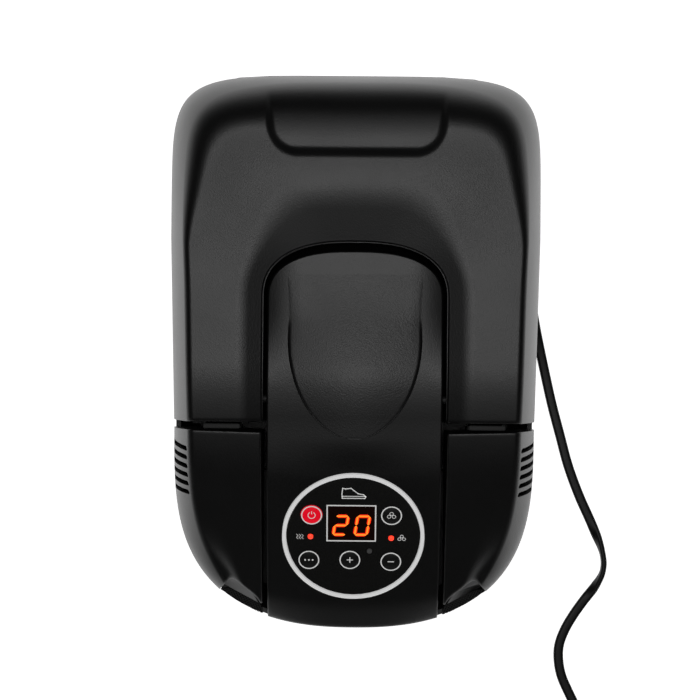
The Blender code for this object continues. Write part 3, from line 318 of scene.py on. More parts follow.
def grained(name, dark, light, rough, grain_scale, grain_depth, spread=0.08, metal=0.0, glow=0.0, shine=0.5):
    """A moulded or cast finish: a fine grain in the surface, slow changes in colour and gloss, and any glow as
    painted light.
    """
    n = Nodes(name)
    slow, fine = n.noise(38.0, 3.0), n.noise(grain_scale, 3.0, 0.6)
    cells = {"Vector": n.place, "Scale": grain_scale * 0.8}
    pebble = n.add("ShaderNodeTexVoronoi", {"feature": "SMOOTH_F1"}, cells)
    colour = n.blend(0.65 * slow + 0.35 * fine, dark, light)
    n.put(n.shader.inputs["Base Color"], colour)
    n.put(n.shader.inputs["Emission Color"], colour)
    # glow is painted light: the finish also gives off its own colour, so it looks brighter than the lamps make
    # it
    n.shader.inputs["Emission Strength"].default_value = glow
    n.shader.inputs["Specular IOR Level"].default_value = shine
    n.put(n.shader.inputs["Roughness"], (rough - spread / 2) + spread * (0.5 * slow + 0.5 * fine))
    n.shader.inputs["Metallic"].default_value = metal
    height = 0.6 * pebble + 0.4 * fine
    n.put(n.shader.inputs["Normal"], n.add("ShaderNodeBump", {}, {"Strength": 1.0, "Distance": grain_depth,
                                                                  "Height": height}))
    return n.material


def glowing(name, colour, strength):
    n = Nodes(name)
    slow = n.noise(500.0, 1.0)
    n.put(n.shader.inputs["Emission Color"], n.blend(slow, [c * 0.9 for c in colour], colour))
    n.shader.inputs["Emission Strength"].default_value = strength
    n.put(n.shader.inputs["Base Color"], n.blend(slow, [c * 0.5 for c in colour], [c * 0.6 for c in colour]))
    n.shader.inputs["Roughness"].default_value = 0.3
    return n.material


def finish_floor():
    n = Nodes("floor_white")
    n.put(n.shader.inputs["Base Color"], n.blend(n.noise(6.0), (0.93, 0.93, 0.93), (0.95, 0.95, 0.95)))
    n.shader.inputs["Roughness"].default_value = 0.7
    n.shader.inputs["Specular IOR Level"].default_value = 0.1
    # The floor glows white near the body and fades to grey farther out: a painted fall-off of studio light.
    reach = n.add("ShaderNodeVectorMath", {"operation": "LENGTH"}, {0: n.place}, out=1)
    far = n.add("ShaderNodeMapRange", {"interpolation_type": "SMOOTHSTEP"},
                {"Value": reach, "From Min": 0.35, "From Max": 1.4})
    n.put(n.shader.inputs["Emission Color"], n.blend(far, (1.0, 1.0, 1.0), (0.35, 0.35, 0.35)))
    n.shader.inputs["Emission Strength"].default_value = 1.0
    return n.material


def recipe(dark, light, rough, grain_scale, grain_depth, **more):
    return dict(dark=dark, light=light, rough=rough, grain_scale=grain_scale, grain_depth=grain_depth, **more)


FINISHES = {
    "shell_black": recipe((0.0012, 0.0012, 0.0013), (0.0028, 0.0028, 0.0030), 0.39, 1900, 0.00007),
    "pad_black": recipe((0.0014, 0.0014, 0.0015), (0.0036, 0.0036, 0.0038), 0.40, 1800, 0.00010),
    "tray_black": recipe((0.006, 0.006, 0.0062), (0.009, 0.009, 0.0092), 0.50, 1300, 0.00005),
    "fascia_black": recipe((0.0125, 0.0125, 0.0120), (0.015, 0.015, 0.0143), 0.24, 300, 0.000003,
                           spread=0.04),
    "key_black": recipe((0.0125, 0.0125, 0.012), (0.015, 0.015, 0.0145), 0.30, 500, 0.000006, spread=0.05),
    # The white prints, the white ring and the red key glow with painted light, brighter than the lamps make
    # them.
    "print_white": recipe((0.80, 0.80, 0.79), (0.88, 0.88, 0.87), 0.45, 900, 0.000004, glow=0.35),
    "ring_white": recipe((0.82, 0.82, 0.82), (0.90, 0.90, 0.90), 0.32, 700, 0.000006, glow=0.42),
    "key_red": recipe((0.85, 0.000, 0.012), (0.92, 0.002, 0.022), 0.34, 500, 0.000006,
                      spread=0.05, glow=0.5),
    "window_red": recipe((0.012, 0.0035, 0.0025), (0.018, 0.005, 0.0035), 0.16, 300, 0.000002, spread=0.03),
    "sensor_grey": recipe((0.10, 0.10, 0.10), (0.20, 0.20, 0.20), 0.3, 900, 0.00001),
    "inner_black": recipe((0.007, 0.007, 0.0072), (0.012, 0.012, 0.0123), 0.6, 900, 0.00006),
    "gap_black": recipe((0.002, 0.002, 0.002), (0.004, 0.004, 0.004), 0.5, 1200, 0.00004, shine=0.28),
    # Black plastic made darker and duller than the shell: painted shade for the grille openings and for the
    # deck seen through the gaps around the spine.
    "painted_shade_black": recipe((0.002, 0.002, 0.002), (0.004, 0.004, 0.004), 0.85, 900, 0.00006, shine=0.1),
    "rubber": recipe((0.007, 0.007, 0.007), (0.012, 0.012, 0.012), 0.65, 700, 0.00006),
    "cord_black": recipe((0.0025, 0.0025, 0.0025), (0.0050, 0.0050, 0.0050), 0.42, 900, 0.00002, shine=0.25),
    "steel": recipe((0.45, 0.45, 0.46), (0.58, 0.58, 0.59), 0.32, 1500, 0.00001, spread=0.12, metal=1.0),
    "copper": recipe((0.62, 0.28, 0.15), (0.75, 0.38, 0.22), 0.35, 1200, 0.00001, spread=0.1, metal=1.0),
    "ceramic": recipe((0.60, 0.58, 0.52), (0.72, 0.70, 0.64), 0.7, 800, 0.00005),
    "board_green": recipe((0.012, 0.12, 0.05), (0.02, 0.17, 0.075), 0.42, 500, 0.00002),
}
GLOWS = {
    "digit_glow": ((1.0, 0.19, 0.018), 1.6),
    "digit_halo": ((1.0, 0.022, 0.004), 1.0),
    "led_glow": ((1.0, 0.045, 0.02), 1.6),
}
made_looks = {}


def look(name):
    if name not in made_looks:
        made_looks[name] = glowing(name, *GLOWS[name]) if name in GLOWS else grained(name, **FINISHES[name])
    return made_looks[name]


# ---------------------------------------------------------------- mesh helpers


def smooth(t):
    t = min(max(t, 0.0), 1.0)
    return t * t * (3 - 2 * t)


def mix(a, b, t):
    return a + (b - a) * t


def piece(name, bm, finish, angle=35, recalc=True):
    bmesh.ops.remove_doubles(bm, verts=bm.verts, dist=1e-7)
    if recalc:
        bmesh.ops.recalc_face_normals(bm, faces=bm.faces)
    mesh = bpy.data.meshes.new(name)
    bm.to_mesh(mesh)
    bm.free()
    made = bpy.data.objects.new(name, mesh)
    bpy.context.collection.objects.link(made)
    if finish:
        mesh.materials.append(look(finish))
    mesh.shade_smooth()
    mesh.set_sharp_from_angle(angle=math.radians(angle))
    return made


def quads(bm, rows, closed=False):
    n = len(rows)
    for i in range(n if closed else n - 1):
        a, b = rows[i], rows[(i + 1) % n]
        for k in range(len(a) - 1):
            corners = []
            for v in (a[k], b[k], b[k + 1], a[k + 1]):
                if v not in corners:
                    corners.append(v)
            if len(corners) > 2:
                bm.faces.new(corners)


def channel(outer, inner, walled):
    """A bent sheet with an outer and an inner skin. Its ends are walled, or left open as a channel."""
    bm = bmesh.new()
    out = [[bm.verts.new(p) for p in row] for row in outer]
    into = [[bm.verts.new(p) for p in row] for row in inner]
    quads(bm, out)
    quads(bm, into)
    for k in (0, -1):
        quads(bm, [[a[k], b[k]] for a, b in zip(out, into)])
    for i in (0, -1):
        if walled:
            low = [bm.verts.new((v.co.x, v.co.y, WIDEST_Z)) for v in out[i]]
            quads(bm, [out[i], low])
            bm.faces.new(into[i])
            bm.faces.new([*low, into[i][-1], into[i][0]])
        else:
            bm.faces.new([*out[i], *into[i][::-1]])
    return bm


def cup(outer, inner):
    bm = bmesh.new()
    out = [[bm.verts.new(p) for p in row] for row in outer]
    into = [[bm.verts.new(p) for p in row] for row in inner]
    quads(bm, out, closed=True)
    quads(bm, into, closed=True)
    quads(bm, [[a[0], b[0]] for a, b in zip(out, into)], closed=True)
    bmesh.ops.remove_doubles(bm, verts=bm.verts, dist=1e-6)
    bmesh.ops.dissolve_degenerate(bm, dist=1e-7, edges=bm.edges)
    return bm


def turned(name, profile, finish, sides=64, place=None, angle=35):
    """A closed (radius, height) profile turned about +Z, then put in place."""
    bm = bmesh.new()
    loops = []
    for i in range(sides):
        a = 2 * math.pi * i / sides
        loops.append([bm.verts.new((r * math.cos(a), r * math.sin(a), z)) for r, z in profile])
    for i in range(sides):
        a, b = loops[i], loops[(i + 1) % sides]
        for k in range(len(profile)):
            j = (k + 1) % len(profile)
            bm.faces.new((a[k], b[k], b[j], a[j]))
    bmesh.ops.remove_doubles(bm, verts=bm.verts, dist=1e-7)
    if place is not None:
        bmesh.ops.transform(bm, matrix=place, verts=bm.verts)
    return piece(name, bm, finish, angle)


def rod_cutter(start, end, radius, sides=48):
    bm = bmesh.new()
    start, end = Vector(start), Vector(end)
    turn = (end - start).to_track_quat("Z", "Y").to_matrix().to_4x4()
    bmesh.ops.create_cone(bm, cap_ends=True, segments=sides, radius1=radius, radius2=radius,
                          depth=(end - start).length, matrix=Matrix.Translation((start + end) / 2) @ turn)
    return piece("cutter", bm, None)


def cut(thing, cutter):
    """Cuts a shape out of a piece and applies it."""
    step = thing.modifiers.new("cut", "BOOLEAN")
    step.operation, step.object, step.solver = "DIFFERENCE", cutter, "EXACT"
    bake(thing)
    bpy.data.objects.remove(cutter, do_unlink=True)


def bake(thing, angle=35):
    """Turns a piece's live modifiers into its plain mesh."""
    bpy.context.view_layer.update()
    done = bpy.data.meshes.new_from_object(thing.evaluated_get(bpy.context.evaluated_depsgraph_get()))
    thing.modifiers.clear()
    thing.data = done
    done.shade_smooth()
    done.set_sharp_from_angle(angle=math.radians(angle))


# ---------------------------------------------------------------- the shape of the body


def half_width(y):
    if y >= REAR_TURN_Y:
        u = min((y - REAR_TURN_Y) / (REAR_LENGTH - REAR_TURN_Y), 1.0)
        return REAR_HALF_WIDTH * (1 - u ** REAR_POWERS[1]) ** (1 / REAR_POWERS[0])
    if y >= SPLIT_Y:
        return mix(SPLIT_HALF_WIDTH, REAR_HALF_WIDTH, (y - SPLIT_Y) / (REAR_TURN_Y - SPLIT_Y))
    t = min((SPLIT_Y - y) / (SPLIT_Y + HALF_LENGTH), 1.0)
    return SPLIT_HALF_WIDTH * (1 - t ** FRONT_POWERS[1]) ** (1 / FRONT_POWERS[0])


def front_y(x):
    t = (1 - min(abs(x) / SPLIT_HALF_WIDTH, 1.0) ** FRONT_POWERS[0]) ** (1 / FRONT_POWERS[1])
    return SPLIT_Y - t * (SPLIT_Y + HALF_LENGTH)


GRILLE_END_Y = front_y(MOUTH_HALF) + GRILLE_DEPTH


def in_body(x, y):
    return -HALF_LENGTH < y < REAR_LENGTH and abs(x) < half_width(y)


def in_mouth(x, y):
    v = max(y - MOUTH_TURN_Y, 0) / (MOUTH_REAR_Y - MOUTH_TURN_Y)
    return (abs(x) / MOUTH_HALF) ** 2.5 + v**2.5 < 1


def in_spine(x, y):
    v = max(y - MOUTH_TURN_Y, 0) / (SPINE_REAR_Y - MOUTH_TURN_Y)
    return (abs(x) / SPINE_HALF) ** (2.5 if y > MOUTH_TURN_Y else 60) + v**2.5 < 1 and y > front_y(x)


def hit(inside, core, aim):
    low, high = 0.0, 0.3
    for _ in range(40):
        middle = (low + high) / 2
        if inside(core[0] + aim[0] * middle, core[1] + aim[1] * middle):
            low = middle
        else:
            high = middle
    return (core[0] + aim[0] * low, core[1] + aim[1] * low)


def rays(rear_y, front_end_y, side_steps, rear_steps, front_steps=0):
    """Rays from a core line on x = 0, up the right side, round the rear and down the left side."""
    made = [((0.0, mix(front_end_y, rear_y, i / side_steps)), (1.0, 0.0)) for i in range(side_steps)]
    for i in range(rear_steps + 1):
        a = math.pi * i / rear_steps
        made.append(((0.0, rear_y), (math.cos(a), math.sin(a))))
    made += [((0.0, mix(rear_y, front_end_y, i / side_steps)), (-1.0, 0.0)) for i in range(1, side_steps + 1)]
    for i in range(1, front_steps):
        a = math.pi * (1 + i / front_steps)
        made.append(((0.0, front_end_y), (math.cos(a), math.sin(a))))
    return made


def normal_at(x, y):
    step = 0.0004
    if y < step - HALF_LENGTH:
        return (0.0, -1.0)
    slope = (half_width(y + step) - half_width(y - step)) / (2 * step)
    size = math.hypot(1, slope)
    return (math.copysign(1 / size, x), -slope / size)


def ridge(y):
    if y > SLOPE_START_Y:
        return TOP_Z
    run = SLOPE_START_Y - SLOPE_FULL_Y
    bend = min(SLOPE_START_Y - y, run)
    return TOP_Z - math.tan(SLOPE) * (bend * bend / (2 * run) + max(SLOPE_FULL_Y - y, 0.0))


def rear_share(turn):
    """0 along the sides and 1 across the rear, for the angle of a ray from the core."""
    return smooth((turn - 0.25) / 0.9)


def edge_form(y, turn):
    inset, radius, drop = [mix(a, b, rear_share(turn)) for a, b in zip(SIDE_EDGE, REAR_EDGE)]
    inset += CORNER_INSET * math.exp(-(((turn - CORNER_AT[0]) / CORNER_AT[1]) ** 2))
    if y < SPLIT_Y:
        t = min((SPLIT_Y - y) / 0.090, 1.0)
        inset = mix(0.0012, SIDE_EDGE[0], (1 - t**4) ** 0.6)
        drop = mix(SIDE_EDGE[2], SPINE_DROP[1], smooth((SPLIT_Y - y) / 0.03))
    return inset, radius, ridge(y) - drop


def wall_profile(y, turn, base_z, steps, edge_steps, thickness=0.0):
    """(inset, height) up the side wall: one long arc, then the rounded upper edge."""
    inset, radius, top = edge_form(y, turn)
    radius = max(radius - thickness, 0.0004)
    top -= thickness
    rise, run = top - WIDEST_Z, inset + radius
    low, high = 0.01, 1.5
    for _ in range(40):
        lean = (low + high) / 2
        long_r = (rise - radius * (1 - math.sin(lean))) / math.sin(lean)
        reach = long_r * (1 - math.cos(lean)) + radius * math.cos(lean)
        low, high = (lean, high) if reach < run else (low, lean)
    points = []
    for i in range(steps):
        a = lean * i / (steps - 1)
        points.append((thickness + long_r * (1 - math.cos(a)), max(WIDEST_Z + long_r * math.sin(a), base_z)))
    start = points[-1]
    for i in range(1, edge_steps):
        a = mix(lean, math.pi / 2, i / (edge_steps - 1))
        points.append((start[0] + radius * (math.cos(lean) - math.cos(a)),
                       start[1] + radius * (math.sin(a) - math.sin(lean))))
    return points


def hood_rim(y):
    reach = HINGE_Z - RIM_Z - 0.0006
    return max(WIDEST_Z, HINGE_Z - math.sqrt(reach**2 - min(y - HINGE_Y, 0.0) ** 2))


def rounded(radius):
    """Steps outwards and down around a quarter turn of an edge."""
    turns = [math.radians(a) for a in (22.5, 45, 67.5, 90)]
    return [(radius * math.sin(a), radius * (1 - math.cos(a))) for a in turns]


def grip_dip(x, y):
    """How deep the grip hollow at the rear of the hood lies below the face."""
    ahead = y - GRIP_FRONT_Y
    beside = (GRIP_HALF + GRIP_SPREAD * ahead - abs(x)) / math.hypot(1, GRIP_SPREAD)
    near = GRIP_TURN - math.hypot(max(GRIP_TURN - ahead, 0), max(GRIP_TURN - beside, 0))
    inside = near if min(ahead, beside) < GRIP_TURN else min(ahead, beside)
    t = min(max(inside / GRIP_BANK, 0.0), 1.0)
    return (GRIP_DEPTH + max(y - GRIP_FLOOR_Y, 0.0) ** 2 / (2 * GRIP_FLOOR_R)) * smooth(t)


def hollowed(x, y, z, face):
    """The height of the hood with the grip hollow taken out of it, open to the rear."""
    dip = grip_dip(x, y)
    if dip <= 0 or z < GRIP_LOW_Z:
        return z
    floor, soft = max(z, face) - dip, 0.6 * dip
    return min(z, floor) - max(soft - abs(z - floor), 0.0) ** 2 / (4 * soft)


def hood_row(core, aim, thickness, steps):
    """One cross-section of the hood, from its lower rim over the edge and the face to the mouth's lip."""
    wall_steps, edge_steps, face_steps = steps
    x, y = hit(in_body, core, aim)
    turn = math.asin(min(aim[1], 1.0))
    row = [(x - aim[0] * d, y - aim[1] * d, z)
           for d, z in wall_profile(y, turn, hood_rim(y), wall_steps, edge_steps, thickness)]
    start, end = row[-1], hit(in_mouth, core, aim)
    away = Vector((start[0] - end[0], start[1] - end[1])).normalized()
    rear = rear_share(turn)
    depth, width = [mix(a, b, rear) for a, b in zip(DISH_SIDE, DISH_REAR)]
    width += DISH_CORNER * math.exp(-(((turn - DISH_CORNER_AT[0]) / DISH_CORNER_AT[1]) ** 2))
    end = (end[0] + away.x * thickness, end[1] + away.y * thickness)
    span = math.hypot(end[0] - start[0], end[1] - start[1])
    edge_r = 0.0 if thickness else 0.0008
    for i in range(1, face_steps + 1):
        w = i / face_steps * (1 - edge_r / span)
        px, py = mix(start[0], end[0], w), mix(start[1], end[1], w)
        near = max(1 - span * (1 - w) / width, 0.0)
        dip = depth * (near * near if near < 0.5 else near - 0.25) / 0.75
        row.append((px, py, start[2] + ridge(py) - ridge(start[1]) + CROWN * rear * smooth(w / 0.4) - dip))
    if thickness:
        row = [(px, py, hollowed(px, py - 0.001, z, GRIP_FACE_Z - thickness)) for px, py, z in row]
    else:
        row = [(px, py, hollowed(px, py, z, GRIP_FACE_Z)) for px, py, z in row]
        last = row[-1]
        for out, down in rounded(edge_r):
            row.append((last[0] - away.x * out, last[1] - away.y * out, last[2] - down))
        for out, down in LEDGE:
            row.append((end[0] - away.x * out, end[1] - away.y * out, last[2] - down))
    row.append((row[-1][0], row[-1][1], row[-1][2] - (LIP - thickness if thickness else LIP - LEDGE[-1][1])))
    return row


def round_ends(rows, drops, above):
    """Lowers a sheet's last rows at both ends, so that its cut edges are rounded."""
    for i, drop in enumerate(drops):
        for at in (i, -1 - i):
            rows[at] = [(x, y, z - drop if z > above else z) for x, y, z in rows[at]]


def make_hood():
    places = rays(MOUTH_TURN_Y, HOOD_FRONT_Y, 30, 380)
    near = [(0.0, HOOD_FRONT_Y + back) for back, _ in HOOD_END[1:]]
    right, left = [[(core, (way, 0.0)) for core in near] for way in (1.0, -1.0)]
    places = [places[0], *right, *places[1:-1], *left[::-1], places[-1]]
    outer = [hood_row(core, aim, 0.0, (14, 20, 104)) for core, aim in places]
    inner = [hood_row(core, aim, WALL, (6, 5, 12)) for core, aim in places]
    round_ends(outer, [drop for _, drop in HOOD_END], HINGE_Z + 0.001)
    hood = piece("hood_finish", channel(outer, inner, False), "shell_black", 40)
    cut(hood, rod_cutter((-0.06, HINGE_Y, HINGE_Z), (0.06, HINGE_Y, HINGE_Z), HINGE_R + FIT, 32))
    done(hood, "hood", "hood_shell")
    for word, side in SIDES:
        bm = bmesh.new()
        bmesh.ops.create_cube(bm, size=1.0)
        bmesh.ops.scale(bm, vec=TAB_SIZE, verts=bm.verts)
        bmesh.ops.bevel(bm, geom=bm.edges, offset=0.0003, segments=3, affect="EDGES")
        place = (side * TAB_X, HOOD_FRONT_Y - TAB_OUT, ridge(HOOD_FRONT_Y) - TAB_DROP)
        bmesh.ops.translate(bm, vec=place, verts=bm.verts)
        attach(piece(f"{word}_hood_tab", bm, "gap_black"), "hood")


def cover_row(side, t, thickness, steps):
    """One cross-section of a front cover: up the side wall, over the face and down beside the spine."""
    wall_steps, edge_steps, face_steps = steps
    outer_y = mix(COVER_REAR_Y[0], GRILLE_OUT_Y, t)
    inner_y = mix(COVER_REAR_Y[1], GRILLE_END_Y, t)
    x = side * half_width(outer_y)
    turn = smooth((t - 0.35) / 0.6)
    nx, ny = normal_at(x, outer_y)
    nx, ny = mix(float(side), nx, turn), mix(0.0, ny, turn)
    row = [(x - nx * d, outer_y - ny * d, z)
           for d, z in wall_profile(outer_y, 0.0, WIDEST_Z, wall_steps, edge_steps, thickness)]
    start = row[-1]
    edge_r = 0.0 if thickness else 0.0011
    end_x = side * (MOUTH_HALF + thickness)
    reach = abs(start[0] - end_x)
    base = start[2]
    for i in range(1, face_steps + 1):
        w = i / face_steps * (1 - edge_r / max(reach, 0.002))
        px, py = mix(start[0], end_x, w), mix(start[1], inner_y, w)
        py += GRILLE_BULGE * (1 - abs(2 * w - 1) ** 5) * smooth((t - 0.7) / 0.3)
        z = mix(base + ridge(py) - ridge(start[1]), ridge(py) - SPINE_DROP[1] - thickness, smooth(w / 0.5))
        row.append((px, py, z))
    last = row[-1]
    if not thickness:
        for out, down in rounded(edge_r):
            row.append((last[0] - side * out, last[1], last[2] - down))
    row.append((end_x, inner_y, WIDEST_Z))
    return row


def vent_slots(side):
    """Upright slots through a cover's side wall."""
    r = VENT_WIDTH / 2
    bm = bmesh.new()
    for i in range(VENT_COUNT):
        y = VENT_FIRST_Y - VENT_PITCH * i
        low, high = [z + ridge(y) - ridge(VENT_FIRST_Y) for z in VENT_Z]
        loop = []
        for k in range(24):
            a = math.pi * (2 * k + 1) / 24
            z = (high - r if math.sin(a) > 0 else low + r) + r * math.sin(a)
            loop.append((y + r * math.cos(a) + VENT_LEAN * (high - z), z))
        near = [bm.verts.new((side * 0.080, y, z)) for y, z in loop]
        far = [bm.verts.new((side * 0.104, y, z)) for y, z in loop]
        bm.faces.new(near)
        bm.faces.new(far)
        quads(bm, [near + near[:1], far + far[:1]])
    return piece("slots", bm, None)


def make_covers():
    for word, side in SIDES:
        stations = [0.0, 0.0015, 0.004, 0.008, 0.0125] + [0.0125 + 0.9875 * i / 90 for i in range(1, 87)]
        stations += [0.975, 0.985, 0.992, 0.997, 1.0]
        outer = [cover_row(side, t, 0.0, (14, 10, 40)) for t in stations]
        inner = [cover_row(side, mix(0.026, 0.97, t), WALL, (6, 4, 8)) for t in stations]
        round_ends(outer, (0.0011, 0.0006, 0.0003, 0.0001), WIDEST_Z + 0.004)
        cover = piece(f"{word}_cover_finish", channel(outer, inner, True), "shell_black", 38)
        cut(cover, vent_slots(side))
        done(cover, "base", f"{word}_front_cover")


def spine_top(x, y):
    face = ridge(y) - mix(SPINE_DROP[0], SPINE_DROP[1], smooth((-0.035 - y) / 0.035))
    outside = max(abs(x) - SPINE_FLAT, 0.0) / (SPINE_HALF - SPINE_FLAT)
    face -= SPINE_SHOULDER * outside**2 * smooth((y + 0.020) / 0.045)
    along = smooth((y - MOUND_Y + 0.018) / 0.018) * (1 - smooth((y - MOUND_Y) / 0.09))
    face += MOUND_RISE * math.exp(-((x / MOUND_REACH) ** 2)) * along
    base = WIDEST_Z + 0.002
    ahead = min(max(y - front_y(x), 0.0) / FRONT_ROUND, 1.0)
    return base + (face - base) * math.sqrt(max(1 - (1 - ahead) ** 2, 0.0))


def spine_row(core, aim, thickness):
    x, y = hit(in_spine, core, aim)
    away = Vector((x - core[0], y - core[1]))
    pull = away * ((away.length - thickness) / away.length)
    rim = (core[0] + pull.x, core[1] + pull.y)
    low = SPINE_BASE_Z if y > HOOD_FRONT_Y - 0.02 else WIDEST_Z
    row = [(rim[0], rim[1], low)]
    if thickness:
        shares = [(0.0, 0.0), (0.05, 0.0), (0.15, 0.0), (0.4, 0.0), (1.0, 0.0)]
    else:
        r = 0.0010
        shares = [(r * (1 - math.cos(a)) / away.length, r * (1 - math.sin(a)))
                  for a in (0, math.pi / 8, math.pi / 4, math.pi * 3 / 8, math.pi / 2)]
        shares += [(shares[-1][0] + (1 - shares[-1][0]) * (i / 44) ** 1.5, 0.0) for i in range(1, 45)]
    for share, drop in shares:
        px, py = mix(rim[0], core[0], share), mix(rim[1], core[1], share)
        row.append((px, py, max(spine_top(px, py) - thickness - drop, low + 0.0004)))
    return row


def make_spine():
    places = rays(MOUTH_TURN_Y, -0.118, 120, 60, 96)
    outer = [spine_row(core, aim, 0.0) for core, aim in places]
    inner = [spine_row(core, aim, WALL) for core, aim in places]
    spine = piece("spine_finish", cup(outer, inner), "shell_black", 40)
    cut(spine, rod_cutter((-0.06, HINGE_Y, HINGE_Z), (0.06, HINGE_Y, HINGE_Z), HINGE_R + FIT, 32))
    cut(spine, rod_cutter(on_panel(0, 0, -0.012), on_panel(0, 0, 0.02), RING_R + 0.0003, 128))
    done(spine, "base", "centre_spine")


def make_pad():
    """The raised pad: a crowned face, a rounded edge and a short wall down to the spine."""
    bm = bmesh.new()
    rows, count, across = [], 110, 44
    for i in range(count + 1):
        s = i / count
        y = mix(PAD_REAR_Y, PAD_FRONT_Y + 0.00002, 1 - (1 - s) ** 1.8)
        t = max(PAD_TURN_Y - y, 0.0) / (PAD_TURN_Y - PAD_FRONT_Y)
        w = PAD_HALF * max(1 - t**2, 0.0) ** (1 / 1.9)
        rear = max(y - MOUTH_TURN_Y, 0.0) / (SPINE_REAR_Y - 0.0015 - MOUTH_TURN_Y)
        w = min(w, (SPINE_HALF - 0.002) * max(1 - rear**2.5, 0.0) ** 0.4)
        grown = smooth((0.040 - y) / 0.060)
        rise = mix(PAD_RISE[0], PAD_RISE[1], grown)
        row = []
        for k in range(across + 1):
            x = w * math.sin(math.pi / 2 * (2 * k / across - 1))
            inside = min(w - abs(x), (y - PAD_FRONT_Y) * 1.4, (PAD_REAR_Y - y) * 1.4 + 0.0001)
            edge = PAD_EDGE[0] * min(grown * 3, 1.0) * (1 - min(inside / PAD_EDGE[1], 1.0)) ** 2
            crown = PAD_CROWN * (x / PAD_HALF) ** 2 * min(grown * 3, 1.0)
            row.append(bm.verts.new((x, y, spine_top(x, y) + max(rise - crown - edge, 0.0001))))
        rows.append(row)
    low = [[bm.verts.new((v.co.x, v.co.y, spine_top(v.co.x, v.co.y) - 0.0004)) for v in (row[0], row[-1])]
           for row in rows]
    quads(bm, rows)
    quads(bm, [[a[0], b[0]] for a, b in zip(rows, low)])
    quads(bm, [[a[-1], b[1]] for a, b in zip(rows, low)])
    quads(bm, low)
    for i in (0, -1):
        bm.faces.new([*rows[i], low[i][1], low[i][0]])
    pad = piece("pad_finish", bm, "pad_black", 50)
    done(pad, "base", "spine_pad")


# ---------------------------------------------------------------- the control panel

PANEL = Matrix.Translation((0.0, PANEL_Y, ridge(PANEL_Y) - SPINE_DROP[1])) @ Matrix.Rotation(SLOPE, 4, "X")


def on_panel(u, v, w):
    return PANEL @ Vector((u, v, w))


def flat_shape(name, loops, low, high, finish, body="base"):
    """Flat outlines on the panel, each given a thickness."""
    bm = bmesh.new()
    for loop in loops:
        bottom = [bm.verts.new(on_panel(u, v, low)) for u, v in loop]
        top = [bm.verts.new(on_panel(u, v, high)) for u, v in loop]
        bm.faces.new(bottom[::-1])
        bm.faces.new(top)
        quads(bm, [bottom + bottom[:1], top + top[:1]])
    made = piece(name, bm, finish)
    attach(made, body)
    return made


def ring_quads(centre, radius, band, start=0.0, end=2 * math.pi, steps=64):
    """Short blocks that make up a printed ring or an arc of one."""
    loops = []
    for i in range(steps):
        a, b = mix(start, end, i / steps), mix(start, end, (i + 1) / steps)
        loops.append([(centre[0] + r * math.cos(t), centre[1] + r * math.sin(t))
                      for r, t in ((radius - band, a), (radius, a), (radius, b), (radius - band, b))])
    return loops


def bar(centre, size):
    return [(centre[0] + sx * size[0] / 2, centre[1] + sy * size[1] / 2)
            for sx, sy in ((-1, -1), (1, -1), (1, 1), (-1, 1))]


SEGMENTS = {"a": (0, 1, 0), "b": (0.5, 0.5, 1), "c": (0.5, -0.5, 1), "d": (0, -1, 0), "e": (-0.5, -0.5, 1),
            "f": (-0.5, 0.5, 1), "g": (0, 0, 0)}
DIGITS = {"2": "abged", "0": "abcdef"}


def digit_loops(text, at, height, width, thick, slant, gap):
    """Lit seven-segment bars with pointed ends, leaning to the right."""
    loops = []
    for i, sign in enumerate(text):
        cx = at[0] + (i - (len(text) - 1) / 2) * (width + gap)
        for key in DIGITS[sign]:
            ux, uy, upright = SEGMENTS[key]
            x, y = ux * width, uy * height / 2
            half = (height / 2 if upright else width) / 2 - thick * 0.12
            shape = [(-half, 0), (-half + thick / 2, thick / 2), (half - thick / 2, thick / 2), (half, 0),
                     (half - thick / 2, -thick / 2), (-half + thick / 2, -thick / 2)]
            if upright:
                shape = [(-b, a) for a, b in shape]
            loops.append([(cx + x + a + slant * (y + b), at[1] + y + b) for a, b in shape])
    return loops


def make_key(name, at):
    """A round key with a flange under the fascia, a printed ring and a picture."""
    r, top = KEY_R, KEY_TOP
    profile = [(0, -0.0046), (0.0016, -0.0046), (0.0016, -0.0036), (r + 0.0005, -0.0036),
               (r + 0.0005, -0.0028), (r, -0.0028), (r, top - 0.0004), (r - 0.00012, top - 0.00012),
               (r - 0.0004, top), (0, top)]
    finish = "key_red" if name == "on_off" else "key_black"
    done(turned(f"{name}_cap", profile, finish, 72, PANEL @ Matrix.Translation((*at, 0))),
         f"{name}_button", f"{name}_key")
    flat_shape(f"{name}_ring_print", ring_quads(at, r - 0.00005, 0.00062), top - 0.00005, top + 0.00003,
               "print_white", f"{name}_button")
    flat_shape(f"{name}_symbol", key_symbol(name, at), top - 0.00002, top + 0.00004, "print_white",
               f"{name}_button")


def make_lamp(name, at):
    """A domed lamp and the picture beside it."""
    lens = [(0, -0.007), (LED_R, -0.007), (LED_R, 0.0001)]
    lens += [(LED_R * math.cos(a), 0.0001 + 0.0006 * math.sin(a)) for a in (0.4, 0.8, 1.2)] + [(0, 0.0007)]
    lamp = turned(f"{name}_led_lens", lens, "led_glow", 32, PANEL @ Matrix.Translation((*at, 0)))
    done(lamp, "base", f"{name}_led")
    side = -1 if name == "dry" else 1
    mark = led_symbol(name, (at[0] + side * 0.0056, at[1] + 0.0001))
    flat_shape(f"{name}_symbol_print", mark, 0.0, 0.00006, "print_white")


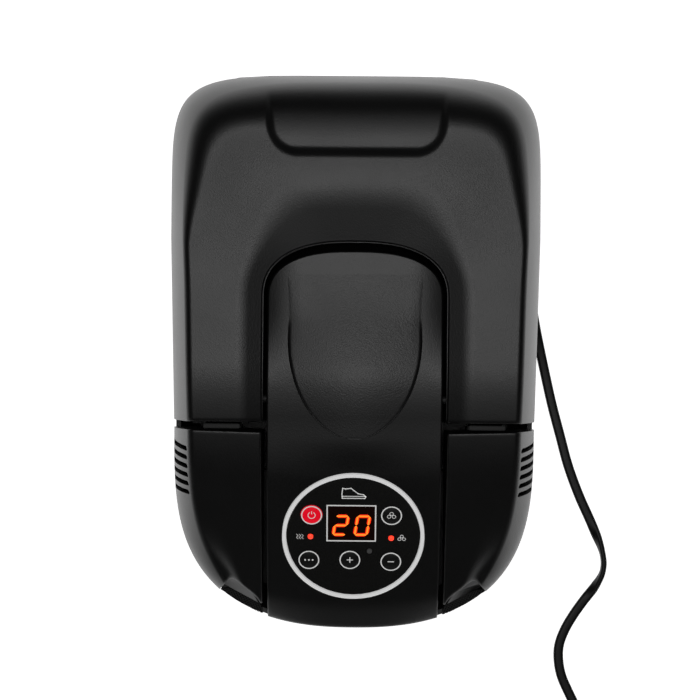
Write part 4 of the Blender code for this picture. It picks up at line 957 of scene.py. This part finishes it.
def make_panel():
    inner = RING_R - RING_BAND
    ring = [(inner, -FASCIA_T), (RING_R, -FASCIA_T), (RING_R, 0.0004), (RING_R - 0.00015, 0.00075),
            (RING_R - 0.0005, 0.0009), (inner + 0.0005, 0.0009), (inner + 0.00015, 0.00075), (inner, 0.0004)]
    done(turned("ring_finish", ring, "ring_white", 160, PANEL), "base", "panel_ring")
    for name, at in KEYS.items():
        make_key(name, at)
    w, h = DISPLAY[0] + FIT, DISPLAY[1] + FIT
    u, v = DISPLAY_AT
    line = DISPLAY_LINE
    border = [bar((u, v + s * (h / 2 - line / 2)), (w, line)) for s in (-1, 1)]
    border += [bar((u + s * (w / 2 - line / 2), v), (line, h - 2 * line)) for s in (-1, 1)]
    flat_shape("display_frame_print", border, 0.0001, 0.00018, "print_white")
    for name, thick, high in (("halo", 0.0020, 0.00014), ("glow", 0.0010, 0.00018)):
        digits = digit_loops("20", (u + 0.0001, v - 0.0013), *DIGIT, thick, DIGIT_SLANT, DIGIT_GAP)
        flat_shape(f"display_{name}", digits, 0.0001, high, f"digit_{name}")
    flat_shape("emblem_print", emblem(*EMBLEM_AT), 0.0, 0.00006, "print_white")
    for name, at in LEDS.items():
        make_lamp(name, at)

def key_symbol(name, at):
    """Plain pictures on the keys: power, three rings, three dots, plus and minus."""
    x, y = at
    if name == "on_off":
        arc = ring_quads(at, 0.0021, 0.0004, math.radians(120), math.radians(420), 24)
        return [*arc, bar((x, y + 0.0015), (0.0004, 0.0018))]
    if name == "ozone":
        spots = ((-0.0013, -0.0006), (0.0013, -0.0006), (0.0, 0.0011))
        return [loop for dx, dy in spots for loop in ring_quads((x + dx, y + dy), 0.0011, 0.0003, steps=20)]
    if name == "preset":
        dots = [ring_quads((x + d, y), 0.0005, 0.0005, steps=10) for d in (-0.002, 0.0, 0.002)]
        return sum(dots, [])
    marks = [bar((x, y), (0.0034, 0.0005))]
    if name == "time_up":
        marks += [bar((x, y + 0.00095), (0.0005, 0.0014)), bar((x, y - 0.00095), (0.0005, 0.0014))]
    return marks


def stroke(points, width):
    """A drawn line as short blocks."""
    loops = []
    for (x0, y0), (x1, y1) in zip(points, points[1:]):
        size = math.hypot(x1 - x0, y1 - y0)
        ux, uy = (x1 - x0) / size * width / 2, (y1 - y0) / size * width / 2
        loops.append([(x0 - ux - uy, y0 - uy + ux), (x0 - ux + uy, y0 - uy - ux),
                      (x1 + ux + uy, y1 + uy - ux), (x1 + ux - uy, y1 + uy + ux)])
    return loops


def emblem(x, y):
    """The outline of a shoe, to show what the dryer is for."""
    shoe = [(-6, -3), (6, -3), (6.4, -2), (5.4, -0.9), (2.4, -0.2), (0.2, 1.6), (-1.4, 3), (-4.2, 2.6),
            (-5.8, 3), (-6.2, -0.4), (-6, -3)]
    loops = stroke([(x + a / 1000, y + b / 1000) for a, b in shoe], 0.0005)
    return loops + stroke([(x - 0.0062, y - 0.0018), (x + 0.0062, y - 0.0018)], 0.0004)


def led_symbol(name, at):
    """A picture beside each lamp: warm air for drying, three rings for ozone."""
    x, y = at
    if name == "ozone":
        spots = ((-0.0012, -0.0005), (0.0012, -0.0005), (0.0, 0.0011))
        return [loop for dx, dy in spots for loop in ring_quads((x + dx, y + dy), 0.0010, 0.0003, steps=16)]
    loops = []
    for d in (-0.0014, 0.0, 0.0014):
        wave = np.linspace(-1.5, 1.5, 13)
        points = [(x + d + 0.0004 * math.sin(t * math.pi), y + 0.0010 * t) for t in wave]
        for (x0, y0), (x1, y1) in zip(points, points[1:]):
            loops.append([(x0 - 0.00016, y0), (x0 + 0.00016, y0), (x1 + 0.00016, y1), (x1 - 0.00016, y1)])
    return loops


# ---------------------------------------------------------------- grilles, cord and small parts


def tree_inputs(tree, sizes):
    for name, value in sizes.items():
        kind = "NodeSocketInt" if isinstance(value, int) else "NodeSocketFloat"
        tree.interface.new_socket(name, in_out="INPUT", socket_type=kind)
    tree.interface.new_socket("Geometry", in_out="OUTPUT", socket_type="NodeSocketGeometry")


def grown(name, build, sizes, finish):
    """A piece grown by a node tree from named sizes, then kept as a plain mesh."""
    tree = bpy.data.node_groups.new(name, "GeometryNodeTree")
    tree_inputs(tree, sizes)
    source, result = tree.nodes.new("NodeGroupInput"), tree.nodes.new("NodeGroupOutput")

    def add(kind, settings=None, inputs=None):
        node = tree.nodes.new(kind)
        for key, value in (settings or {}).items():
            setattr(node, key, value)
        for key, value in (inputs or {}).items():
            if isinstance(value, bpy.types.NodeSocket):
                tree.links.new(value, node.inputs[key])
            else:
                node.inputs[key].default_value = value
        return node

    shape = build(add, source.outputs)
    real = add("GeometryNodeRealizeInstances", {}, {"Geometry": shape})
    painted = add("GeometryNodeSetMaterial", {}, {"Geometry": real.outputs[0], "Material": look(finish)})
    tree.links.new(painted.outputs[0], result.inputs[0])
    holder = bpy.data.objects.new(name, bpy.data.meshes.new(name))
    bpy.context.collection.objects.link(holder)
    step = holder.modifiers.new(name, "NODES")
    step.node_group = tree
    for item in tree.interface.items_tree:
        if item.in_out == "INPUT":
            step[item.identifier] = sizes[item.name]
    bake(holder)
    return holder


def placed(thing, matrix):
    thing.data.transform(matrix)
    thing.data.update()
    return thing


def row_tree(axis, shape):
    """A builder for a row of instances of one shape, spaced along an axis."""

    def build(add, given):
        step = add("ShaderNodeCombineXYZ", {}, {axis: given["Spacing"]})
        line = add("GeometryNodeMeshLine", {}, {"Count": given["Count"], "Offset": step.outputs[0]})
        one = shape(add, given)
        row = add("GeometryNodeInstanceOnPoints", {}, {"Points": line.outputs[0], "Instance": one.outputs[0]})
        return row.outputs[0]

    return build


def round_rib(add, given):
    ring = add("GeometryNodeCurvePrimitiveCircle", {}, {"Resolution": 40, "Radius": given["Radius"]})
    section = add("GeometryNodeCurvePrimitiveCircle", {}, {"Resolution": 10, "Radius": given["Thickness"]})
    return add("GeometryNodeCurveToMesh", {}, {"Curve": ring.outputs[0], "Profile Curve": section.outputs[0]})


def slim_bar(add, given):
    thick = given["Thickness"]
    size = add("ShaderNodeCombineXYZ", {}, {"X": thick, "Y": given["Length"], "Z": thick})
    return add("GeometryNodeMeshCube", {}, {"Size": size.outputs[0]})


def trim(thing, plan):
    """Cuts away what lies outside an upright convex outline."""
    bm = bmesh.new()
    bm.from_mesh(thing.data)
    centre = Vector((sum(x for x, _ in plan), sum(y for _, y in plan))) / len(plan)
    for a, b in zip(plan, plan[1:] + plan[:1]):
        outward = Vector((b[1] - a[1], a[0] - b[0]))
        if outward.dot(Vector(a) - centre) < 0:
            outward = -outward
        bmesh.ops.bisect_plane(bm, geom=[*bm.verts, *bm.edges, *bm.faces], plane_co=(*a, 0),
                               plane_no=(*outward, 0), clear_outer=True)
    bm.to_mesh(thing.data)
    bm.free()


def corner_plan(side):
    """The outline of a corner grille, and its long edge as (middle, turn)."""
    start, stop = Vector((half_width(GRILLE_OUT_Y), GRILLE_OUT_Y)), Vector((MOUTH_HALF, GRILLE_END_Y))
    ahead = (stop - start).normalized()
    out = Vector((ahead.y, -ahead.x)) * 0.0006
    out = -out if out.y > 0 else out
    bulge = Vector((0.0, GRILLE_BULGE))
    plan = [start.lerp(stop, w) + out + bulge * (1 - abs(2 * w - 1) ** 5) for w in np.linspace(0.03, 1.0, 24)]
    plan += [Vector((x, front_y(x) + 0.0008)) for x in np.linspace(MOUTH_HALF, start.x, 16)[:-1]]
    middle = Vector((side * (start.x + stop.x) / 2, (start.y + stop.y) / 2 - 0.003, WIDEST_Z + 0.0032))
    return [(side * p.x, p.y) for p in plan], middle, math.atan2(ahead.y, side * ahead.x)


def make_corner_grilles():
    """Fine mesh in each front corner: two crossed rows of bars over a floor in painted shade, trimmed to the
    corner.
    """
    sizes = {"Count": GRILLE_BARS, "Spacing": GRILLE_PITCH, "Length": 0.032, "Thickness": GRILLE_BAR}
    for word, side in SIDES:
        plan, middle, turn = corner_plan(side)
        bm = bmesh.new()
        low, high = [[bm.verts.new((*p, WIDEST_Z + rise)) for p in plan] for rise in (0.0, 0.0012)]
        bm.faces.new(low)
        bm.faces.new(high)
        quads(bm, [low + low[:1], high + high[:1]])
        done(piece(f"{word}_grille_floor", bm, "painted_shade_black"), "base", f"{word}_corner_grille")
        for i, angle in enumerate((0.785, -0.785)):
            bars = grown(f"{word}_grille_bars_{i}", row_tree("X", slim_bar), sizes, "gap_black")
            placed(bars, Matrix.Translation(middle) @ Matrix.Rotation(turn + angle, 4, "Z")
                   @ Matrix.Translation((-GRILLE_PITCH * (GRILLE_BARS - 1) / 2, 0, 0)))
            trim(bars, plan)
            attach(bars, "base")


def curve_points(points, per_span=10):
    """A smooth curve through points, as many points per span."""
    ends = [Vector(p) for p in points]
    ends = [ends[0] * 2 - ends[1], *ends, ends[-1] * 2 - ends[-2]]
    fine = []
    for a, b, c, d in zip(ends, ends[1:], ends[2:], ends[3:]):
        for i in range(per_span):
            t = i / per_span
            fine.append(0.5 * (2 * b + (c - a) * t + (2 * a - 5 * b + 4 * c - d) * t**2
                               + (3 * b - a - 3 * c + d) * t**3))
    return [*fine, ends[-2]]


def cord_path():
    coil, steps = [], round(COIL_TURNS * 30)
    half = COIL_TURNS / 2
    for i in range(steps + 1):
        turn = COIL_TURNS * i / steps
        layer = abs(turn - half) / half
        radius = mix(COIL_RADII[1], COIL_RADII[0], layer)
        a = COIL_START - 2 * math.pi * turn
        z = COIL_LAYERS[0] + COIL_LAYERS[1] * smooth((turn - half + 0.25) / 0.5)
        coil.append((COIL_AT[0] + radius * math.cos(a), COIL_AT[1] + radius * math.sin(a), z))
    return curve_points([*ROUTE, *coil, *TAIL], 6)


def make_cord():
    path = cord_path()
    bm = bmesh.new()
    sides, rings = 20, []
    for i, p in enumerate(path):
        ahead = (path[min(i + 1, len(path) - 1)] - path[max(i - 1, 0)]).normalized()
        across = ahead.cross(Vector((0, 0, 1))).normalized()
        near = math.hypot(p.x - TWIST_AT[0], p.y - TWIST_AT[1])
        turn = Matrix.Rotation(math.radians(88) * (1 - smooth((near - 0.003) / 0.022)), 3, ahead)
        across = turn @ across
        up = across.cross(ahead)
        ring = []
        for k in range(sides):
            a = 2 * math.pi * k / sides
            c, s = math.cos(a), math.sin(a)
            waist = 1 - 0.10 * math.exp(-((c / 0.28) ** 2))
            ring.append(bm.verts.new(p + across * (CORD_WIDTH / 2 * math.copysign(abs(c) ** 0.75, c))
                                     + up * (CORD_THICK / 2 * waist * math.copysign(abs(s) ** 0.75, s))))
        rings.append(ring)
    quads(bm, [ring + ring[:1] for ring in rings])
    bm.faces.new(rings[0])
    bm.faces.new(rings[-1])
    cord = piece("mains_lead", bm, "cord_black", 60)
    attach(cord, "base")
    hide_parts("mains_cord", "cord_coil", "cord_tail")
    plug, prongs = make_plug()
    material(("cord_gland", "rubber"))
    turn = GLAND_AIM.to_track_quat("Z", "Y").to_matrix().to_4x4()
    sizes = {"Count": 6, "Spacing": 0.0026, "Radius": 0.0030, "Thickness": 0.0005}
    ribs = grown("gland_ribs", row_tree("Z", round_rib), sizes, "rubber")
    placed(ribs, Matrix.Translation(GLAND_TIP - GLAND_AIM * 0.0175) @ turn)
    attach(ribs, "base")
    length = sum((b - a).length for a, b in zip(path, path[1:]))


def make_plug():
    """A flat two-pin plug: a waisted body with rounded edges, and its pins."""
    x, y, z = PLUG_AT
    half = 0.0067
    bm = bmesh.new()
    rows = []
    for i in range(37):
        t = i / 36
        u = -0.0006 - 0.0359 * t
        wide = 0.0042 + 0.0132 * smooth((t - 0.15) / 0.75)
        thick = mix(0.0046, half, smooth(t * 1.6))
        trim = 1 - 0.10 * smooth((t - 0.93) / 0.07) - 0.25 * (1 - smooth(t / 0.05))
        ring = []
        for k in range(36):
            a = 2 * math.pi * k / 36
            c, s = math.cos(a), math.sin(a)
            ring.append(bm.verts.new((x + u, y + wide * trim * math.copysign(abs(c) ** 0.55, c),
                                      z + thick * trim * math.copysign(abs(s) ** 0.55, s))))
        rows.append(ring)
    quads(bm, [row + row[:1] for row in rows])
    bm.faces.new(rows[0])
    bm.faces.new(rows[-1])
    plug = piece("plug_body", bm, "cord_black", 50)
    done(plug, "base", "mains_plug")
    prongs = []
    for i, side in enumerate((-1, 1)):
        root = Matrix.Translation((x - 0.0363, y + side * PLUG_PIN_APART / 2, z))
        profile = [(0, 0), (0.0019, 0), (0.0019, 0.0085), (0.0020, 0.0087), (0.0020, 0.0172),
                   (0.0014, 0.0186), (0, 0.0190)]
        pin = turned(f"plug_prong_{i}", profile, "steel", 28, root @ Matrix.Rotation(-math.pi / 2, 4, "Y"))
        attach(pin, "base")
        prongs.append(pin)
    return plug, prongs


# ---------------------------------------------------------------- riding on the frame


def done(thing, body, *nodes):
    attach(thing, body)
    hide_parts(*nodes)


def material(*pairs):
    for name, finish_name in pairs:
        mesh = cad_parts[name].data
        mesh.materials.clear()
        mesh.materials.append(look(finish_name))


# The finishes of the CAD nodes that stay as they are, the second set with a left and a right of each
CAD_FINISHES = {
    "tray_black": "base_tray",
    # The rear deck is in painted shade, darker and duller than the shell.
    "painted_shade_black": "rear_deck",
    "inner_black": "air_duct blower_housing impeller ozone_module panel_carrier display_module",
    "steel": "blower_motor catch_magnet catch_plate transformer",
    "copper": "heater_core",
    "ceramic": "heater_frame",
    "board_green": "power_board control_board",
    "fascia_black": "panel_fascia",
    "window_red": "display_window",
    "sensor_grey": "light_sensor",
}
PAIRED_FINISHES = {
    "steel": "{}_hinge_cheek {}_nozzle_pin {}_nozzle_spring rear_{}_screw",
    "inner_black": "{}_hood_pin {}_nozzle_bracket {}_nozzle_grille",
    "shell_black": "{}_nozzle",
    "rubber": "front_{}_foot rear_{}_foot",
}

stage()
make_cord()
make_hood()
make_covers()
make_spine()
make_pad()
make_panel()
make_corner_grilles()
for finish_name, names in CAD_FINISHES.items():
    material(*((name, finish_name) for name in names.split()))
for word, _ in SIDES:
    for finish_name, names in PAIRED_FINISHES.items():
        material(*((name.format(word), finish_name) for name in names.split()))
